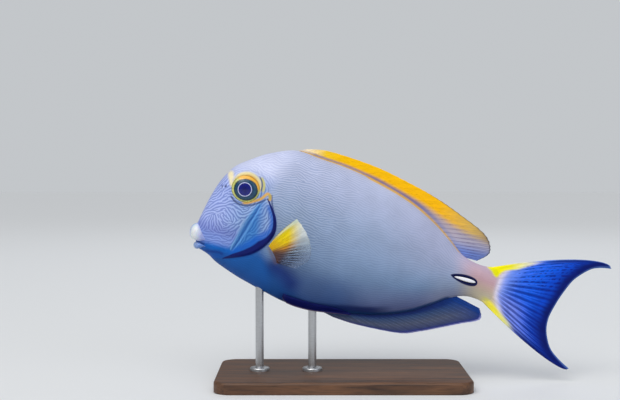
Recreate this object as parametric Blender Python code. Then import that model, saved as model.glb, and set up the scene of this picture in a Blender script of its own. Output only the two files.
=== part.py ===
# Eyestripe surgeonfish: a still, life-size display model on a plain two-rod stand.
#
# The fish is modelled level in its own frame, in millimetres: x from the upper lip to the tail,
# y to its right side and z up. An empty pitches it nose up and lifts it over the stand.
# World frame: metres, origin under the middle of the stand's base, head towards -X, +Z up.
# The fish is the same on both sides of the plane y = 0.

import math

import bpy
import bmesh
from mathutils import Vector

MM = 0.001
GAP = 0.3  # air between neighbouring pieces, mm

# Pose
NOSE_UP = math.radians(16)
TAIL_CLEARANCE = 8.0  # lowest fin tip over the floor
SNOUT_X = -92.0  # where the upper lip stands along the base

# Sections of the body, snout to tail root. Each is a plane between a point of the back and a
# point of the belly: back x, back z, belly x, belly z, half width.
BODY_SECTIONS = (
    (3.2, 7.2, 6.6, -7.0, 4.0),
    (4.9, 17.4, 10.5, -7.9, 6.3),
    (7.0, 27.0, 15.0, -9.4, 8.1),
    (10.3, 36.9, 20.0, -12.2, 9.9),
    (15.5, 46.0, 27.0, -14.8, 11.5),
    (23.5, 52.7, 35.0, -17.3, 12.9),
    (34.0, 59.6, 43.5, -19.4, 14.1),
    (48.5, 65.3, 54.0, -21.8, 15.1),
    (64.0, 64.6, 67.0, -24.2, 15.5),
    (82.0, 63.5, 83.0, -24.6, 15.0),
    (102.0, 60.1, 102.0, -20.9, 13.3),
    (122.0, 54.8, 121.0, -16.6, 10.9),
    (139.0, 47.2, 138.0, -10.1, 8.2),
    (151.7, 39.3, 151.0, -1.9, 6.1),
    (161.0, 32.9, 160.5, 5.0, 4.7),
    (169.5, 30.2, 169.0, 8.9, 3.6),
    (177.5, 29.9, 177.5, 9.3, 2.6),
    (189.0, 32.5, 189.0, 6.5, 1.6),
)
BODY_SIDES = 36
SIDE_FINER = 0.15  # how much closer the points of a ring lie on its sides than on its edges
HEAD_RINGS = 4  # rings to a section, front to back
TRUNK_RINGS = 2
STALK_RINGS = 2
NAPE_SECTION = 7
STALK_SECTION = 13
EDGE_SHARPNESS = 1.12  # 1 is an ellipse, more draws the back and belly to a ridge
WIDEST_ABOVE = 0.10  # how far the fullest part lies over the middle

# Gill cover: rear margin and front line in side view, top to bottom
GILL_MARGIN = (
    (39.2, 33.2), (43.6, 28.9), (47.6, 23.2), (49.4, 16.4),
    (48.0, 10.0), (44.4, 4.0), (38.6, -1.5), (30.0, -6.0), (23.2, -8.6),
)
GILL_FRONT = (
    (37.6, 32.6), (36.2, 27.6), (34.6, 21.6), (32.8, 15.0),
    (31.0, 8.4), (29.4, 2.4), (27.0, -2.6), (24.0, -5.6), (21.6, -7.6),
)
GILL_DEPTH = 1.0
GILL_RISE = 0.9
NAPE_CUT_X = 36.0
BREAST_CUT = (19.0, -22.0)

# Tail stalk and the fan of the tail fin
STALK_CUT_X = 153.0
STALK_END_X = 184.0
STALK_END_BOW = 5.5
STALK_MIDDLE_Z = 19.7
STALK_HALF_DEPTH = 10.4

# Eye
EYE_X = 26.0
EYE_Z = 35.1
EYE_HALF_LENGTH = 9.2
EYE_HALF_HEIGHT = 8.5
EYE_HALF_DEPTH = 4.0
EYE_BULGE = 2.2  # how far the eyeball stands out of the cheek
EYE_RIM_WIDTH = 1.5
EYE_RIM_DEPTH = 1.2
EYE_RIM_RISE = 0.6
ORBIT_FLAT = 7.5  # within this reach of the eye the cheek is levelled to face the side
ORBIT_BLEND = 18.0  # and by this reach it is the plain body again
ORBIT_LEVEL = 0.8  # how far it is levelled

# Nostrils: a round one and a slit behind it, ahead of the eye
NOSTRILS = ((11.9, 32.6, 0.75, 0.75), (13.8, 33.4, 0.45, 0.95))

# Lips: front x and z, half height, half thickness, then the same at the corner
UPPER_LIP = (3.7, 2.3, 5.0, 3.7, 10.6, -2.0, 0.8, 0.8)
LOWER_LIP = (6.8, -5.6, 2.2, 2.4, 12.0, -4.6, 0.7, 0.8)
LIP_HALF_WIDTH = 5.5
MOUTH_SLIT = 0.6
MOUTH_DEPTH_X = 12.0
MOUTH_Z = -3.1

# Fins. Rays of the middle fins, front to back: root x, tip x, tip z.
DORSAL_RAYS = (
    (48.8, 54.5, 67.9), (57.0, 68.0, 70.3), (80.0, 96.0, 69.2), (100.0, 120.0, 65.1),
    (115.0, 137.0, 61.1), (129.0, 153.0, 55.7), (144.0, 171.5, 47.8), (155.0, 177.0, 38.6),
    (161.5, 171.0, 31.6),
)
ANAL_RAYS = (
    (88.5, 98.0, -25.0), (99.0, 113.0, -25.4), (112.0, 138.0, -23.3), (124.0, 150.0, -18.8),
    (135.0, 161.0, -13.3), (146.0, 172.0, -7.6), (156.0, 182.6, -1.9), (163.5, 180.5, 4.4),
)
CAUDAL_EDGE = (
    (249.9, 49.2), (243.0, 47.7), (237.4, 44.8), (230.4, 37.0), (226.4, 28.0), (223.4, 18.0),
    (222.0, 9.4), (223.3, 1.6), (227.8, -6.5), (234.0, -11.4), (242.3, -15.7),
)
CAUDAL_BOW_UP = 14.0
CAUDAL_BOW_DOWN = 11.0
# Pectoral rays, upper to lower: root x, root z, tip x, tip z, reach out from the side
PECTORAL_RAYS = (
    (48.9, 5.8, 59.8, 28.0, 27.0), (50.8, 4.0, 66.4, 22.6, 28.0), (52.9, 1.8, 71.6, 15.0, 26.5),
    (55.0, -0.4, 73.2, 6.4, 22.5), (57.0, -2.4, 67.0, -1.6, 13.5),
)
PECTORAL_CUP = 2.4
# Folded pelvic fin: x, z, half height along its middle
PELVIC_LINE = (
    (63.5, -21.4, 1.7), (72.0, -22.1, 2.3), (82.0, -22.0, 2.3), (93.0, -20.9, 1.9),
    (101.0, -20.3, 1.2), (107.0, -20.2, 0.5),
)
PELVIC_NEAREST_Y = 3.1
PELVIC_TIP_Y = 1.9
DORSAL_COUNT = 35
ANAL_COUNT = 28
CAUDAL_COUNT = 16
PECTORAL_COUNT = 16
PELVIC_COUNT = 6
RAY_RELIEF = 0.24  # height of a ray over the membrane
MEMBRANE_HALF = 0.27
# Half thickness that the fleshy root adds
MIDDLE_FIN_ROOT = 0.8
CAUDAL_ROOT = 1.5
PECTORAL_ROOT = 0.7
PELVIC_ROOT = 0.35

# Blade of the tail spine, in its groove
SPINE_TIP_X = 160.2
SPINE_HINGE_X = 172.4
SPINE_Z = 18.8
SPINE_HALF_HEIGHT = 1.25
SPINE_HALF_THICK = 0.75
SPINE_PROUD = 0.45
GROOVE_ROOM = 0.6
GROOVE_LONGER = 1.2

# Stand
BASE_LENGTH = 150.0
BASE_WIDTH = 84.0
BASE_HEIGHT = 7.0
BASE_CORNER = 10.0
BASE_EDGE = 1.2
ROD_RADIUS = 2.5
ROD_FOOT_RADIUS = 6.0
ROD_FOOT_HEIGHT = 2.0
ROD_IN_BASE = 4.5
ROD_IN_BODY = 11.0
ROD_SIDES = 16
ROD_ROOTS = {"stand_rod_front": 50.0, "stand_rod_rear": 84.0}

COLOURS = {
    "head": (0.30, 0.36, 0.70),
    "trunk": (0.34, 0.40, 0.58),
    "tail_stalk": (0.46, 0.40, 0.38),
    "gill_cover": (0.16, 0.26, 0.58),
    "eye": (0.02, 0.03, 0.05),
    "lip": (0.78, 0.76, 0.66),
    "dorsal_fin": (0.95, 0.50, 0.01),
    "anal_fin": (0.16, 0.14, 0.42),
    "caudal_fin": (0.04, 0.10, 0.50),
    "pectoral_fin": (0.90, 0.66, 0.05),
    "pelvic_fin": (0.03, 0.03, 0.16),
    "tail_spine": (0.90, 0.90, 0.86),
    "stand_base": (0.10, 0.055, 0.03),
    "stand_rod": (0.62, 0.62, 0.62),
}


def along(rows, t):
    """The row at t on a smooth curve through all rows, where t counts rows from 0."""
    last = len(rows) - 1
    t = min(max(t, 0.0), last)
    i = min(int(t), last - 1)
    f = t - i
    near = [rows[min(max(i + k, 0), last)] for k in (-1, 0, 1, 2)]
    return tuple(
        0.5 * (2 * b + (c - a) * f + (2 * a - 5 * b + 4 * c - d) * f**2 + (3 * b - a - 3 * c + d) * f**3)
        for a, b, c, d in zip(*near)
    )


def at_share(rows, share):
    return along(rows, share * (len(rows) - 1))


def find(goal, low, high):
    """The value between low and high where goal turns from true to false."""
    for _ in range(34):
        middle = (low + high) / 2
        if goal(middle):
            low = middle
        else:
            high = middle
    return (low + high) / 2


def back_z(x):
    t = find(lambda t: along(BODY_SECTIONS, t)[0] < x, 0, len(BODY_SECTIONS) - 1)
    return along(BODY_SECTIONS, t)[1]


def belly_z(x):
    t = find(lambda t: along(BODY_SECTIONS, t)[2] < x, 0, len(BODY_SECTIONS) - 1)
    return along(BODY_SECTIONS, t)[3]


def fullness(level):
    """Share of the half width at a level from -1, the belly, to 1, the back."""
    if abs(level) >= 1:
        return 0.0
    return (1 - level * level) ** (EDGE_SHARPNESS / 2) * (1 + WIDEST_ABOVE * level)


def plain_side_y(x, z):
    """Half width of the body without its orbits."""

    def behind_section(t):
        back_x, back, belly_x, belly, _ = along(BODY_SECTIONS, t)
        return (x - back_x) * (back - belly) + (z - back) * (belly_x - back_x) > 0

    t = find(behind_section, 0, len(BODY_SECTIONS) - 1)
    _, back, _, belly, half = along(BODY_SECTIONS, t)
    return half * fullness(1 - 2 * (back - z) / (back - belly))


def with_orbit(x, z, y):
    """Half width at a point of the side view, levelled round the eye."""
    reach = math.hypot(x - EYE_X, z - EYE_Z)
    share = min(max((ORBIT_BLEND - reach) / (ORBIT_BLEND - ORBIT_FLAT), 0), 1)
    share = share * share * (3 - 2 * share) * min(y / 6, 1)
    return y + ORBIT_LEVEL * share * (ORBIT_Y - y)


def side_y(x, z):
    """Half width of the body at a point of the side view, or 0 outside its outline."""
    return with_orbit(x, z, plain_side_y(x, z))


ORBIT_Y = plain_side_y(EYE_X, EYE_Z)


def new_object(name, points, faces, parent=None, colour=None):
    mesh = bpy.data.meshes.new(name)
    mesh.from_pydata([Vector(p) * MM for p in points], [], faces)
    work = bmesh.new()
    work.from_mesh(mesh)
    bmesh.ops.recalc_face_normals(work, faces=work.faces)
    work.to_mesh(mesh)
    work.free()
    mesh.validate()
    obj = bpy.data.objects.new(name, mesh)
    bpy.context.scene.collection.objects.link(obj)
    obj.parent = parent
    if colour:
        paint(obj, colour)
    return obj


def paint(obj, colour, roughness=0.4, metallic=0.0):
    material = bpy.data.materials.new(obj.name)
    material.use_nodes = True
    surface = material.node_tree.nodes["Principled BSDF"]
    surface.inputs["Base Color"].default_value = (*COLOURS[colour], 1)
    surface.inputs["Roughness"].default_value = roughness
    surface.inputs["Metallic"].default_value = metallic
    obj.data.materials.clear()
    obj.data.materials.append(material)


def loft(rings):
    """Points and faces of a closed skin over rings of the same length, with a fan at each end."""
    sides = len(rings[0])
    points = [p for ring in rings for p in ring]
    faces = []
    for i in range(len(rings) - 1):
        for j in range(sides):
            k = (j + 1) % sides
            faces.append((i * sides + j, i * sides + k, (i + 1) * sides + k, (i + 1) * sides + j))
    for first in (0, (len(rings) - 1) * sides):
        ring = points[first:first + sides]
        points.append(tuple(sum(c) / sides for c in zip(*ring)))
        for j in range(sides):
            faces.append((first + j, first + (j + 1) % sides, len(points) - 1))
    return points, faces


def ellipsoid(centre, radii, sides=20, rings=12):
    loops = []
    for i in range(rings):
        tilt = math.pi * (i + 0.5) / rings
        loops.append([
            (
                centre[0] + radii[0] * math.sin(tilt) * math.cos(math.tau * j / sides),
                centre[1] + radii[1] * math.cos(tilt),
                centre[2] + radii[2] * math.sin(tilt) * math.sin(math.tau * j / sides),
            )
            for j in range(sides)
        ])
    points, faces = loft(loops)
    points[-2] = (centre[0], centre[1] + radii[1], centre[2])
    points[-1] = (centre[0], centre[1] - radii[1], centre[2])
    return points, faces


def prism(outline, half_width, middle_y=0.0):
    """A side-view outline drawn out along y."""
    n = len(outline)
    points = [(x, middle_y - half_width, z) for x, z in outline]
    points += [(x, middle_y + half_width, z) for x, z in outline]
    faces = [tuple(range(n)), tuple(range(n, 2 * n))]
    faces += [(i, (i + 1) % n, n + (i + 1) % n, n + i) for i in range(n)]
    return points, faces


def apply_boolean(obj, others, operation):
    """Joins, cuts or crosses obj with helpers, keeps its largest closed surface, drops the helpers."""
    helpers = bpy.data.collections.new("helpers")
    bpy.context.scene.collection.children.link(helpers)
    for other in others:
        bpy.context.scene.collection.objects.unlink(other)
        helpers.objects.link(other)
    step = obj.modifiers.new("join", "BOOLEAN")
    step.operation = operation
    step.operand_type = "COLLECTION"
    step.collection = helpers
    bpy.context.view_layer.update()
    solved = bpy.data.meshes.new_from_object(obj.evaluated_get(bpy.context.evaluated_depsgraph_get()))
    obj.modifiers.remove(step)
    old = obj.data
    obj.data = solved
    bpy.data.meshes.remove(old)
    for other in others:
        bpy.data.objects.remove(other)
    bpy.data.collections.remove(helpers)
    keep_largest(obj)


def keep_largest(obj):
    work = bmesh.new()
    work.from_mesh(obj.data)
    work.verts.ensure_lookup_table()
    seen = set()
    shells = []
    for start in work.verts:
        if start in seen:
            continue
        shell = [start]
        seen.add(start)
        for vert in shell:
            for edge in vert.link_edges:
                other = edge.other_vert(vert)
                if other not in seen:
                    seen.add(other)
                    shell.append(other)
        shells.append(shell)
    shells.sort(key=len)
    bmesh.ops.delete(work, geom=[v for shell in shells[:-1] for v in shell], context="VERTS")
    bmesh.ops.triangulate(work, faces=work.faces)
    work.to_mesh(obj.data)
    work.free()


def plate(grid):
    """A closed sheet. grid[i][j] holds the two points of column i, row j on its two faces."""
    columns = len(grid)
    rows = len(grid[0])
    points = [side for column in grid for pair in column for side in pair]

    def index(i, j, face):
        return 2 * (i * rows + j) + face

    faces = []
    for i in range(columns - 1):
        for j in range(rows - 1):
            for face in (0, 1):
                a, b = index(i, j, face), index(i + 1, j, face)
                c, d = index(i + 1, j + 1, face), index(i, j + 1, face)
                faces += [(a, b, c), (a, c, d)]
    border = [(i, 0) for i in range(columns - 1)]
    border += [(columns - 1, j) for j in range(rows - 1)]
    border += [(i, rows - 1) for i in range(columns - 1, 0, -1)]
    border += [(0, j) for j in range(rows - 1, 0, -1)]
    for here, there in zip(border, border[1:] + border[:1]):
        a, b = index(*here, 0), index(*there, 0)
        c, d = index(*there, 1), index(*here, 1)
        faces += [(a, b, c), (a, c, d)]
    return points, faces


def ray_columns(count, forked=False):
    """Columns along a fin, two to a ray or four to a forked one: each a share and its kind."""
    kinds = ("membrane", "branch", "fork", "branch") if forked else ("membrane", "ray")
    steps = len(kinds) * count
    return [(i / steps, kinds[i % len(kinds)]) for i in range(steps + 1)]


def fin_half(kind, row, root_half):
    """Half thickness of a fin: a fleshy root, then the membrane with its rays, lower at the edge."""
    fleshy = root_half * (1 - row) ** 4
    ray = RAY_RELIEF * (1 - 0.6 * row)
    share = {"membrane": 0, "ray": 1, "branch": min(0.6 + row, 1), "fork": max(1 - 2 * row, 0)}[kind]
    return MEMBRANE_HALF + fleshy + ray * share


def build_body(pose):
    rings = []
    t = 0.0
    while t < len(BODY_SECTIONS) - 1 + 1e-6:
        back_x, back, belly_x, belly, half = along(BODY_SECTIONS, t)
        ring = []
        for j in range(BODY_SIDES):
            turn = math.tau * j / BODY_SIDES
            level = math.cos(turn + SIDE_FINER * math.sin(2 * turn))
            share = (1 - level) / 2
            side = 1 if math.sin(turn) >= 0 else -1
            x = back_x + (belly_x - back_x) * share
            z = back + (belly - back) * share
            ring.append((x, side * with_orbit(x, z, half * fullness(level)), z))
        rings.append(ring)
        if t < NAPE_SECTION:
            t += 1 / HEAD_RINGS
        elif t < STALK_SECTION:
            t += 1 / TRUNK_RINGS
        else:
            t += 1 / STALK_RINGS
    return new_object("body", *loft(rings), pose)


def copy_of(obj, name, colour):
    twin = bpy.data.objects.new(name, obj.data.copy())
    bpy.context.scene.collection.objects.link(twin)
    twin.parent = obj.parent
    paint(twin, colour)
    return twin


def shifted(line, by, longer=0.0):
    """A side-view line that runs downwards, moved square to itself towards the tail, and made longer."""
    moved = []
    for i, (x, z) in enumerate(line):
        ax, az = line[max(i - 1, 0)]
        bx, bz = line[min(i + 1, len(line) - 1)]
        length = math.hypot(bx - ax, bz - az)
        run_x, run_z = (bx - ax) / length, (bz - az) / length
        push = longer * ((i == len(line) - 1) - (i == 0))
        moved.append((x - by * run_z + push * run_x, z + by * run_x + push * run_z))
    return moved


def head_outline(grow):
    """Side view of all that lies ahead of the gill opening, grown by a margin."""
    margin = [at_share(GILL_MARGIN, i / 16) for i in range(17)]
    line = [(NAPE_CUT_X + 6, 90.0), (NAPE_CUT_X, 46.0)] + margin + [BREAST_CUT, (BREAST_CUT[0] - 3, -50.0)]
    return shifted(line, grow) + [(-40.0, -50.0), (-40.0, 90.0)]


def tail_arc(z, ahead=0.0):
    rise = (z - STALK_MIDDLE_Z) / STALK_HALF_DEPTH
    return STALK_END_X - STALK_END_BOW * rise * rise - ahead


def gill_plate(side, grow, depth, rise):
    """Gill cover on one side. The grown one, open at the back, is the recess that it lies in."""
    columns, rows = 4, 12
    front_line = shifted([at_share(GILL_FRONT, j / rows) for j in range(rows + 1)], -grow, 2 * grow)
    rear_line = shifted([at_share(GILL_MARGIN, j / rows) for j in range(rows + 1)], 4 * grow, 2 * grow)
    grid = []
    for i in range(columns + 1):
        column = []
        for j in range(rows + 1):
            share = j / rows
            u = i / columns
            x = front_line[j][0] + (rear_line[j][0] - front_line[j][0]) * u
            z = front_line[j][1] + (rear_line[j][1] - front_line[j][1]) * u
            y = side_y(x, z)
            lift = rise * u * math.sin(math.pi * min(max(share, 0.06), 0.94)) ** 0.5
            column.append(((x, side * (y - depth), z), (x, side * (y + lift + 0.05), z)))
        grid.append(column)
    return plate(grid)


def eye_middle_y():
    return ORBIT_Y + EYE_BULGE - EYE_HALF_DEPTH


def eye_rim(side):
    """Fleshy ring round the eyeball, laid on the cheek."""
    rings = []
    turns, sides = 26, 8
    for i in range(turns):
        turn = math.tau * i / turns
        loop = []
        for j in range(sides):
            angle = math.tau * (j + 0.5) / sides
            out = EYE_RIM_WIDTH * math.cos(angle)
            x = EYE_X + (EYE_HALF_LENGTH + out) * math.cos(turn)
            z = EYE_Z + (EYE_HALF_HEIGHT + out) * math.sin(turn)
            middle = side_y(x, z) + EYE_RIM_RISE - EYE_RIM_DEPTH
            loop.append((x, side * (middle + EYE_RIM_DEPTH * math.sin(angle)), z))
        rings.append(loop)
    points = [p for ring in rings for p in ring]
    faces = []
    for i in range(turns):
        for j in range(sides):
            a, b = i * sides + j, i * sides + (j + 1) % sides
            c, d = ((i + 1) % turns) * sides + (j + 1) % sides, ((i + 1) % turns) * sides + j
            faces.append((a, b, c, d))
    return points, faces


def lip(shape, grow=0.0):
    """Horseshoe round the mouth: a tapered roll from one corner over the front to the other."""
    front_x, front_z, front_high, front_thick, corner_x, corner_z, corner_high, corner_thick = shape
    turns, sides = 16, 10
    rings = []
    for i in range(turns + 1):
        q = math.sin(math.pi / 2 * (-1 + 2 * i / turns))
        back = 1 - math.sqrt(max(1 - abs(q) ** 2.2, 0))
        x = front_x + (corner_x - front_x) * back
        y = LIP_HALF_WIDTH * math.sin(q * math.pi / 2)
        z = front_z + (corner_z - front_z) * q * q
        taper = math.sqrt(1 - 0.94 * abs(q) ** 8)
        high = (front_high + (corner_high - front_high) * q * q) * taper + grow
        thick = (front_thick + (corner_thick - front_thick) * q * q) * taper + grow
        heading = q * math.radians(78)
        loop = []
        for j in range(sides):
            angle = math.tau * j / sides
            out = thick * math.cos(angle)
            loop.append((x - out * math.cos(heading), y + out * math.sin(heading), z + high * math.sin(angle)))
        rings.append(loop)
    return loft(rings)


def build_flesh(pose):
    body = build_body(pose)
    head = copy_of(body, "head", "head")
    trunk = copy_of(body, "trunk", "trunk")
    stalk = copy_of(body, "tail_stalk", "tail_stalk")
    bpy.data.objects.remove(body)

    rims = [new_object("rim", *eye_rim(side), pose) for side in (-1, 1)]
    apply_boolean(head, rims, "UNION")
    apply_boolean(head, [new_object("front", *prism(head_outline(0), 60), pose)], "INTERSECT")
    cutters = []
    for side in (-1, 1):
        cutters.append(new_object("recess", *gill_plate(side, GAP, GILL_DEPTH + GAP, 4.0), pose))
        socket = ellipsoid(
            (EYE_X, side * eye_middle_y(), EYE_Z),
            (EYE_HALF_LENGTH + GAP, EYE_HALF_DEPTH + GAP, EYE_HALF_HEIGHT + GAP),
            24, 10,
        )
        cutters.append(new_object("socket", *socket, pose))
        for x, z, wide, high in NOSTRILS:
            pit = ellipsoid((x, side * side_y(x, z), z), (wide, 1.2, high), 10, 6)
            cutters.append(new_object("nostril", *pit, pose))
    for shape in (UPPER_LIP, LOWER_LIP):
        cutters.append(new_object("lip_bed", *lip(shape, GAP), pose))
    slit = ((-10, MOUTH_Z - MOUTH_SLIT / 2), (MOUTH_DEPTH_X, MOUTH_Z - 0.3 - MOUTH_SLIT / 4),
            (MOUTH_DEPTH_X, MOUTH_Z - 0.3 + MOUTH_SLIT / 4), (-10, MOUTH_Z + MOUTH_SLIT / 2))
    cutters.append(new_object("slit", *prism(slit, 30), pose))
    apply_boolean(head, cutters, "DIFFERENCE")

    rear = ((STALK_CUT_X - GAP / 2, -60), (300, -60), (300, 100), (STALK_CUT_X - GAP / 2, 100))
    cutters = [
        new_object("front", *prism(head_outline(GAP), 60), pose),
        new_object("rear", *prism(rear, 60), pose),
    ]
    apply_boolean(trunk, cutters, "DIFFERENCE")

    arc = [(tail_arc(z), z) for z in range(-10, 51, 3)]
    slab = [(STALK_CUT_X + GAP / 2, -10)] + arc + [(STALK_CUT_X + GAP / 2, 50)]
    apply_boolean(stalk, [new_object("slab", *prism(slab, 60), pose)], "INTERSECT")
    grooves = [new_object("groove", *spine_groove(side), pose) for side in (-1, 1)]
    apply_boolean(stalk, grooves, "DIFFERENCE")
    return head, trunk, stalk


def build_face(pose):
    for side, word in ((-1, "left"), (1, "right")):
        new_object("gill_cover_" + word, *gill_plate(side, 0, GILL_DEPTH, GILL_RISE), pose, "gill_cover")
        ball = ellipsoid(
            (EYE_X, side * eye_middle_y(), EYE_Z), (EYE_HALF_LENGTH, EYE_HALF_DEPTH, EYE_HALF_HEIGHT), 24, 10
        )
        new_object("eye_" + word, *ball, pose, "eye")
    new_object("upper_lip", *lip(UPPER_LIP), pose, "lip")
    new_object("lower_lip", *lip(LOWER_LIP), pose, "lip")


def middle_fin(rays, count, edge_of_body, gap):
    """A fin in the plane y = 0, its root laid along the back or the belly."""
    rows = 4
    grid = []
    for share, kind in ray_columns(count):
        root_x, tip_x, tip_z = at_share(rays, share)
        root_z = edge_of_body(root_x) + gap
        column = []
        for j in range(rows + 1):
            row = j / rows
            half = fin_half(kind, row, MIDDLE_FIN_ROOT)
            x = root_x + (tip_x - root_x) * row
            z = root_z + (tip_z - root_z) * row
            column.append(((x, -half, z), (x, half, z)))
        grid.append(column)
    return plate(grid)


def tail_lobe(first, last):
    """The part of the tail fin between two shares of its rays, counted from the upper edge."""
    rows = 6
    grid = []
    for step, kind in ray_columns(CAUDAL_COUNT // 2, forked=True):
        share = first + (last - first) * step
        level = 1 - 2 * share
        root_z = STALK_MIDDLE_Z + level * (STALK_HALF_DEPTH - 0.2)
        root_x = tail_arc(root_z, -GAP)
        tip_x, tip_z = at_share(CAUDAL_EDGE, share)
        bow = CAUDAL_BOW_UP * max(level, 0) ** 2 - CAUDAL_BOW_DOWN * max(-level, 0) ** 2
        part = GAP / 2 * (1 if first == 0 else -1) * (1 - abs(level)) ** 8
        column = []
        for j in range(rows + 1):
            row = j / rows
            half = fin_half(kind, row, CAUDAL_ROOT * math.sqrt(max(1 - level * level, 0.03)))
            x = root_x + (tip_x - root_x) * row
            z = root_z + (tip_z - root_z) * row + bow * row * math.sqrt(1 - row) + part
            column.append(((x, -half, z), (x, half, z)))
        grid.append(column)
    return plate(grid)


def pectoral_fin(side):
    """A fan that stands out from the side, its root laid on the flank behind the gill cover."""
    rows = 5

    def middle(share, row):
        root_x, root_z, tip_x, tip_z, reach = at_share(PECTORAL_RAYS, share)
        root_y = side_y(root_x, root_z) + GAP
        cup = PECTORAL_CUP * 4 * row * (1 - row)
        return Vector((
            root_x + (tip_x - root_x) * row - cup * 0.5,
            root_y + reach * row + cup * 0.5,
            root_z + (tip_z - root_z) * row,
        ))

    grid = []
    for share, kind in ray_columns(PECTORAL_COUNT):
        column = []
        for j in range(rows + 1):
            row = j / rows
            here = middle(share, row)
            across = middle(min(share + 0.01, 1), row) - middle(max(share - 0.01, 0), row)
            outward = middle(share, min(row + 0.01, 1)) - middle(share, max(row - 0.01, 0))
            normal = across.cross(outward).normalized()
            half = fin_half(kind, row, PECTORAL_ROOT)
            pair = []
            for face in (here - normal * half, here + normal * half):
                if j == 0:
                    face.y = side_y(face.x, face.z) + GAP + 0.05
                pair.append((face.x, side * face.y, face.z))
            column.append(tuple(pair))
        grid.append(column)
    return plate(grid)


def pelvic_fin(side):
    """A folded fin laid back along the belly."""
    rows = 10
    grid = []
    for share, kind in ray_columns(PELVIC_COUNT):
        column = []
        for j in range(rows + 1):
            row = j / rows
            x, middle_z, high = at_share(PELVIC_LINE, row)
            z = middle_z + high * (1 - 2 * share)
            nearest = PELVIC_NEAREST_Y + (PELVIC_TIP_Y - PELVIC_NEAREST_Y) * max(row - 0.6, 0) / 0.4
            y = max(side_y(x, z) + 0.45, nearest)
            half = fin_half(kind, row, PELVIC_ROOT)
            column.append(((x, side * y, z), (x, side * (y + 2 * half), z)))
        grid.append(column)
    return plate(grid)


def flank_rings(side, start_x, end_x, half_thick, half_height, taper, steps):
    """Oval rings along the middle of the tail stalk's side, sized by a taper from front to back."""
    sides = 8
    rings = []
    for i in range(steps + 1):
        share = (i + 0.15) / (steps + 0.3)
        x = start_x + (end_x - start_x) * share
        y = side_y(x, SPINE_Z) + SPINE_PROUD - SPINE_HALF_THICK
        size = taper(share)
        rings.append([
            (
                x,
                side * (y + half_thick * size * math.cos(math.tau * j / sides)),
                SPINE_Z + half_height * size * math.sin(math.tau * j / sides),
            )
            for j in range(sides)
        ])
    return rings


def tail_spine(side):
    """A flat blade, hinged at the back and pointed at the front."""
    return loft(flank_rings(
        side, SPINE_TIP_X, SPINE_HINGE_X, SPINE_HALF_THICK, SPINE_HALF_HEIGHT,
        lambda share: math.sqrt(share) * min(1, (1.06 - share) * 6), 8,
    ))


def spine_groove(side):
    return loft(flank_rings(
        side, SPINE_TIP_X - GROOVE_LONGER, SPINE_HINGE_X + GROOVE_LONGER,
        SPINE_HALF_THICK + GROOVE_ROOM, SPINE_HALF_HEIGHT + GROOVE_ROOM,
        lambda share: (1 - abs(2 * share - 1) ** 5) ** 0.5, 9,
    ))


def build_fins(pose):
    dorsal = middle_fin(DORSAL_RAYS, DORSAL_COUNT, back_z, GAP)
    new_object("dorsal_fin", *dorsal, pose, "dorsal_fin")
    anal = middle_fin(ANAL_RAYS, ANAL_COUNT, belly_z, -GAP)
    new_object("anal_fin", *anal, pose, "anal_fin")
    new_object("caudal_fin_upper", *tail_lobe(0, 0.5), pose, "caudal_fin")
    new_object("caudal_fin_lower", *tail_lobe(0.5, 1), pose, "caudal_fin")
    for side, word in ((-1, "left"), (1, "right")):
        new_object("pectoral_fin_" + word, *pectoral_fin(side), pose, "pectoral_fin")
        new_object("pelvic_fin_" + word, *pelvic_fin(side), pose, "pelvic_fin")
        new_object("tail_spine_" + word, *tail_spine(side), pose, "tail_spine")


def world_point(x, z):
    """World x and z, in millimetres, of a point of the fish's middle plane."""
    turn_cos, turn_sin = math.cos(NOSE_UP), math.sin(NOSE_UP)
    lowest_x, lowest_z = CAUDAL_EDGE[-1]
    lift = TAIL_CLEARANCE + lowest_x * turn_sin - lowest_z * turn_cos
    return SNOUT_X + x * turn_cos + z * turn_sin, lift - x * turn_sin + z * turn_cos


def turned(profile, x):
    """A round piece about a vertical axis at x, from its radii and heights, bottom to top."""
    rings = [
        [
            (x + radius * math.cos(math.tau * j / ROD_SIDES), radius * math.sin(math.tau * j / ROD_SIDES), z)
            for j in range(ROD_SIDES)
        ]
        for radius, z in profile
    ]
    return loft(rings)


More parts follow.
